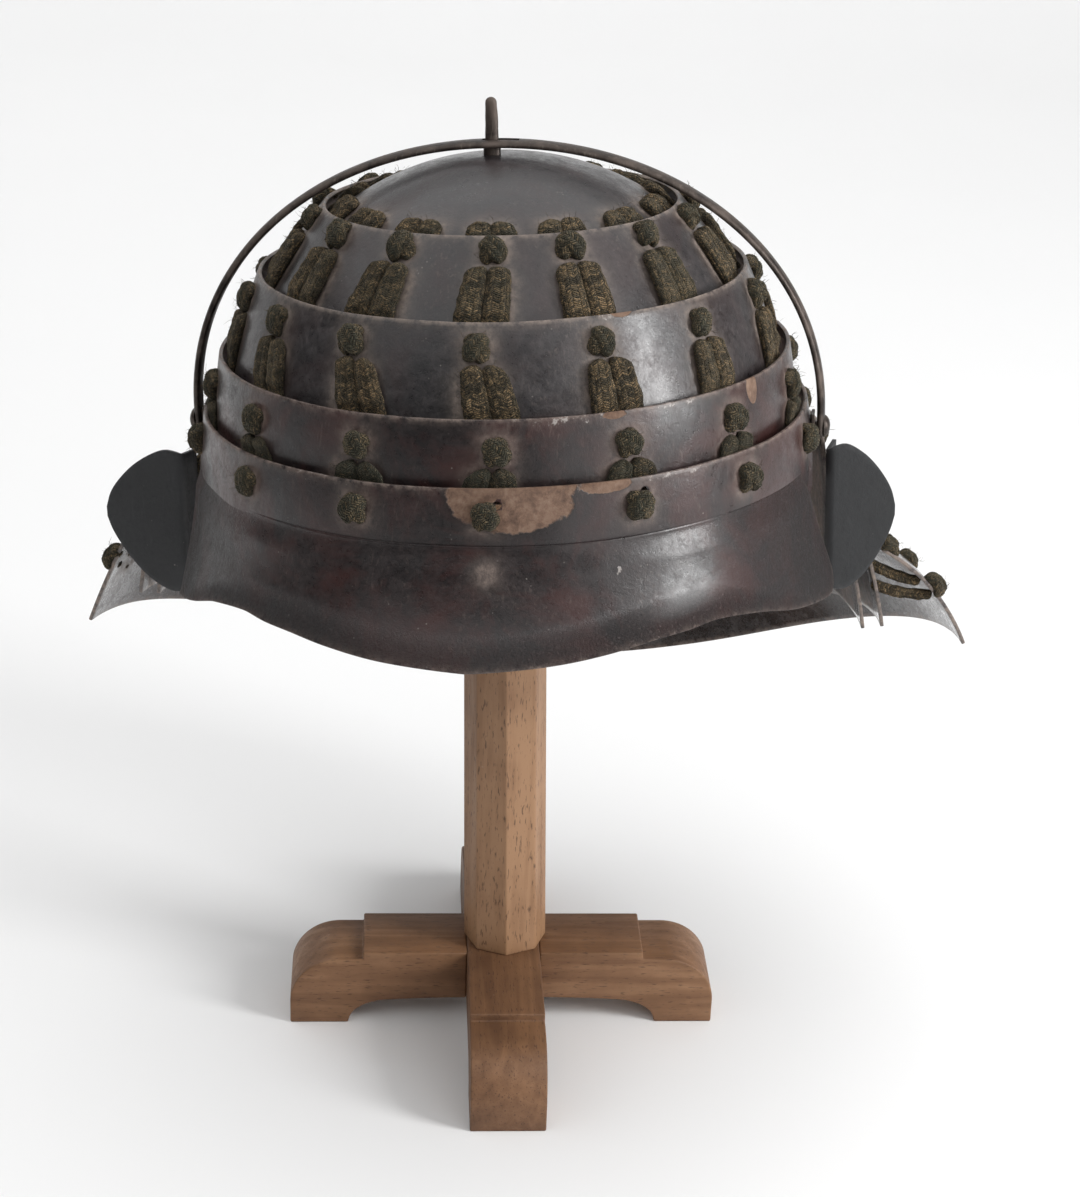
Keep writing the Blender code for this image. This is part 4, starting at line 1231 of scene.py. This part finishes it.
def makeFastening(side, label):
    inner = plateSection(plates["lame_5"], math.pi / 2, strap["foot"], 0.0003)[0]
    outer = strap["halfSpan"] - strap["thick"] / 2 + 0.0001
    deselect()
    bpy.ops.mesh.primitive_cube_add(size=1, location=(side * (inner + outer) / 2, 0, -strap["foot"]))
    piece = start("bracket_" + label, iron)
    piece.scale = (outer - inner, fastening["bracket"], fastening["bracket"] * 1.15)
    settle()
    editAll()
    bpy.ops.mesh.subdivide(number_cuts=3)
    leaveEdit()
    applyModifier(piece, "BEVEL", width=0.0007, segments=3, limit_method="ANGLE", angle_limit=deg(40))
    dent(piece, 0.0004, 0.006, side * 4)
    finishPiece(piece, "strap_bracket_" + label)

    deselect()
    bpy.ops.mesh.primitive_uv_sphere_add(segments=28, ring_count=16, radius=fastening["rivetHead"])
    rivet = start("rivet_" + label, iron)
    editAll()
    bpy.ops.mesh.bisect(plane_co=(0, 0, 0), plane_no=(side, 0, 0), clear_inner=True, use_fill=True)
    selectMesh()
    resize((fastening["rivetThick"] / fastening["rivetHead"], 1, 1))
    face = strap["halfSpan"] + strap["thick"] / 2 * 0.8
    bpy.ops.transform.translate(value=(side * face, 0, -strap["foot"]))
    leaveEdit()
    deselect()
    bpy.ops.mesh.primitive_cylinder_add(
        vertices=20, radius=fastening["shank"], depth=face - inner + fastening["driven"],
        rotation=(0, math.pi / 2, 0), location=(side * (face + inner - fastening["driven"]) / 2, 0, -strap["foot"]))
    shank = bpy.context.object
    shank.data.materials.append(iron)
    settle()
    only(rivet)
    shank.select_set(True)
    bpy.ops.object.join()
    dent(rivet, 0.0003, 0.004, side * 2)
    finishPiece(rivet, "strap_rivet_" + label)


makeFastening(-1, "left")
makeFastening(1, "right")

post = {"width": 0.0052, "depth": 0.0034, "rise": 0.0213, "offset": -0.0033, "taper": 0.86, "tip": 0.0022,
        "collar": 1.25, "collarHigh": 0.003, "neck": 0.8, "steps": 14, "tipStep": 18}


def makePost():
    crown = plates["top_plate"]
    foot = plateSection(crown, 0, abs(post["offset"]))[1] - 0.0004
    top = helmet["height"] + post["rise"]
    shoulder = top - post["tip"]
    deselect()
    bpy.ops.mesh.primitive_cylinder_add(vertices=16, radius=0.5, depth=1, end_fill_type="NOTHING",
                                        location=(post["offset"], 0, foot + post["collarHigh"] / 2))
    piece = start("keeper_post", iron)
    piece.scale = (post["width"] * post["collar"], post["depth"] * post["collar"], post["collarHigh"])
    settle()
    editAll()
    bpy.ops.mesh.select_all(action="DESELECT")
    leaveEdit()
    # the collar's upper rim is drawn up into the post
    high = foot + post["collarHigh"]
    for vertex in piece.data.vertices:
        vertex.select = vertex.co.z > high - 0.0005
    for edge in piece.data.edges:
        edge.select = all(piece.data.vertices[i].select for i in edge.vertices)
    bpy.ops.object.mode_set(mode="EDIT")
    steps, before = post["steps"], 1
    for step in range(1, steps + 1):
        level = high + (shoulder - high) * step / steps
        wide = (1 - (1 - post["taper"]) * step / steps) if step > 1 else 0.98
        extrude(0, 0, (shoulder - high) / steps)
        ratio = wide * (post["neck"] if step == 1 else 1) / before
        resize((ratio, ratio, 1), (post["offset"], 0, level))
        before = wide
    full = 1.0
    for angle in (deg(post["tipStep"] * step) for step in range(1, 6)):
        extrude(0, 0, post["tip"] * (math.sin(angle) - math.sin(angle - deg(post["tipStep"]))))
        shrink = max(math.cos(angle), 0.05)
        resize((shrink / full, shrink / full, 1), (post["offset"], 0, shoulder + post["tip"] * math.sin(angle)))
        full = shrink
    bpy.ops.mesh.edge_face_add()
    bpy.ops.mesh.select_all(action="DESELECT")
    bpy.ops.mesh.select_mode(type="EDGE")
    bpy.ops.mesh.select_non_manifold()
    bpy.ops.mesh.edge_face_add()
    turnOutwards()
    dent(piece, 0.00025, 0.006, 5.0)
    finishPiece(piece, "top_post", smooth=40)


makePost()
say("strap done")

# stand

stand = {"length": 0.180, "width": 0.0308, "block": 0.1183, "high": 0.0353, "step": 0.0034, "foot": 0.0245,
         "arch": 0.0127, "round": 0.021, "postWide": 0.0350, "postTop": 0.0318, "postFoot": 0.001, "lean": -0.0255}
# share of the way out to the foot, share of the arch's height
archOutline = ((0.0, 1.0), (0.45, 0.96), (0.72, 0.90), (0.807, 0.856), (0.885, 0.728), (0.947, 0.529), (0.986, 0.278),
               (1.0, 0.0))


def legOutline():
    half = stand["length"] / 2
    inner = half - stand["foot"]
    shoulder = stand["high"] - stand["step"]
    reach = min(stand["round"], half - stand["block"] / 2)
    shares = [math.sin(math.pi / 2 * step / 22) for step in range(22)] + [1.0]
    points = [(inner * share, stand["arch"] * max(curveValue(archOutline, share), 0)) for share in shares]
    points += [(half, 0)]
    points += [(half - reach + reach * math.cos(deg(5 * step)),
                shoulder - stand["round"] + stand["round"] * math.sin(deg(5 * step))) for step in range(19)]
    points += [(stand["block"] / 2, shoulder), (stand["block"] / 2, stand["high"])]
    return points + [(-x, z) for x, z in reversed(points) if x > 1e-6]


def makeLeg(name, turn, side, material):
    # side 0 is the whole leg, -1 and 1 the halves that meet it
    outline = legOutline()
    mesh = bpy.data.meshes.new(name)
    mesh.from_pydata([(x, -stand["width"] / 2, z) for x, z in outline], [], [tuple(range(len(outline)))])
    leg = bpy.data.objects.new(name, mesh)
    bpy.context.collection.objects.link(leg)
    only(leg)
    start(name, material)
    editAll()
    extrude(0, stand["width"], 0)
    if side:
        selectMesh()
        bpy.ops.mesh.bisect(plane_co=(side * (stand["width"] / 2 + 0.00005), 0, 0), plane_no=(side, 0, 0),
                            clear_inner=True, use_fill=True)
    turnOutwards()
    applyModifier(leg, "BEVEL", width=0.0009, segments=3, limit_method="ANGLE", angle_limit=deg(28))
    leg.data.transform(Matrix.Translation(standMiddle) @ Matrix.Rotation(standTurn + turn, 4, "Z"))
    finishPiece(leg, "stand_base", seated=False, smooth=30)


makeLeg("leg_ahead", math.pi / 2, 0, woodAhead)
makeLeg("leg_left", 0, -1, woodAcross)
makeLeg("leg_right", 0, 1, woodAcross)


def makeStandPost():
    low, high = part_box("stand_post")
    sunk = 0.0003
    depth = high.z - low.z + sunk
    deselect()
    bpy.ops.mesh.primitive_cylinder_add(vertices=8, radius=stand["postWide"] / 2, depth=depth,
                                        rotation=(0, 0, math.pi / 2), location=(0, 0, low.z - sunk + depth / 2))
    piece = start("stand_pole", woodUpright)
    settle()
    piece.data.transform(Matrix.Rotation(standTurn, 4, "Z"))
    middle = (low.z + high.z) / 2
    for vertex in piece.data.vertices:
        if vertex.co.z > middle:
            vertex.co.x *= stand["postTop"] / stand["postWide"]
            vertex.co.y *= stand["postTop"] / stand["postWide"]
            vertex.co.x += stand["lean"] * depth
        vertex.co += standMiddle + Vector((stand["postFoot"], 0, 0))
    editAll()
    bpy.ops.mesh.bevel(offset=0.0007, segments=3, affect="EDGES")
    leaveEdit()
    finishPiece(piece, "stand_post", seated=False, smooth=8)


makeStandPost()
say("stand done")

# floor, light

# the floor runs from near to bend, curves up with the radius curve and goes on as the wall
studio = {"floorSize": 12.0, "near": -6.5, "run": 10.0, "bend": 1.6, "curve": 0.9, "world": 0.08}
lamps = {
    "overhead": ((-0.6, 0.0, 1.9), (-0.6, 0, 0), (5.0, 4.6), 90),
    "key": ((1.2, -0.36, 0.73), (0.08, -0.09, 0.29), (0.36, 0.70), 16),
    "front": ((1.1, -1.35, 0.45), (0, 0, 0.2), (1.0, 0.8), 3.5),
    "backdrop": ((0.0, 1.2, 2.4), (0, 3.2, 1.4), (3.4, 0.8), 13),
}


def makeFloor():
    bend, curve = studio["bend"], studio["curve"]

    def place(u, v):
        x, run = (u - 0.5) * studio["floorSize"], v * studio["run"] + studio["near"]
        if run < bend:
            return Vector((x, run, 0))
        angle = min((run - bend) / curve, math.pi / 2)
        rest = max(run - bend - curve * math.pi / 2, 0)
        return Vector((x, bend + curve * math.sin(angle), curve * (1 - math.cos(angle)) + rest))
    floor = gridPiece(4, 120, place)
    floor.name = "floor"
    material, shader, where = newMaterial("floor", {"Roughness": 0.75})
    tone = rampNode(noiseNode(where, 3.0, 2.0), [(0.0, (0.84, 0.84, 0.84)), (1.0, (0.87, 0.87, 0.87))])
    setInputs(shader, {"Base Color": tone})
    floor.data.materials.clear()
    floor.data.materials.append(material)
    only(floor)
    bpy.ops.object.shade_smooth()


def addLight(name, place, target, size, power):
    bpy.ops.object.light_add(type="AREA", location=place)
    lamp = bpy.context.object
    lamp.name = name
    lamp.data.shape = "RECTANGLE"
    lamp.data.size, lamp.data.size_y = size
    lamp.data.energy = power
    lamp.rotation_euler = (Vector(target) - Vector(place)).to_track_quat("-Z", "Y").to_euler()


makeFloor()
deselect()
for lampName, lampSettings in lamps.items():
    addLight(lampName, *lampSettings)
world = bpy.data.worlds.new("studio")
bpy.context.scene.world = world
world.use_nodes = True
setInputs(world.node_tree.nodes["Background"], {"Color": (1, 1, 1, 1), "Strength": studio["world"]})
say("studio done")
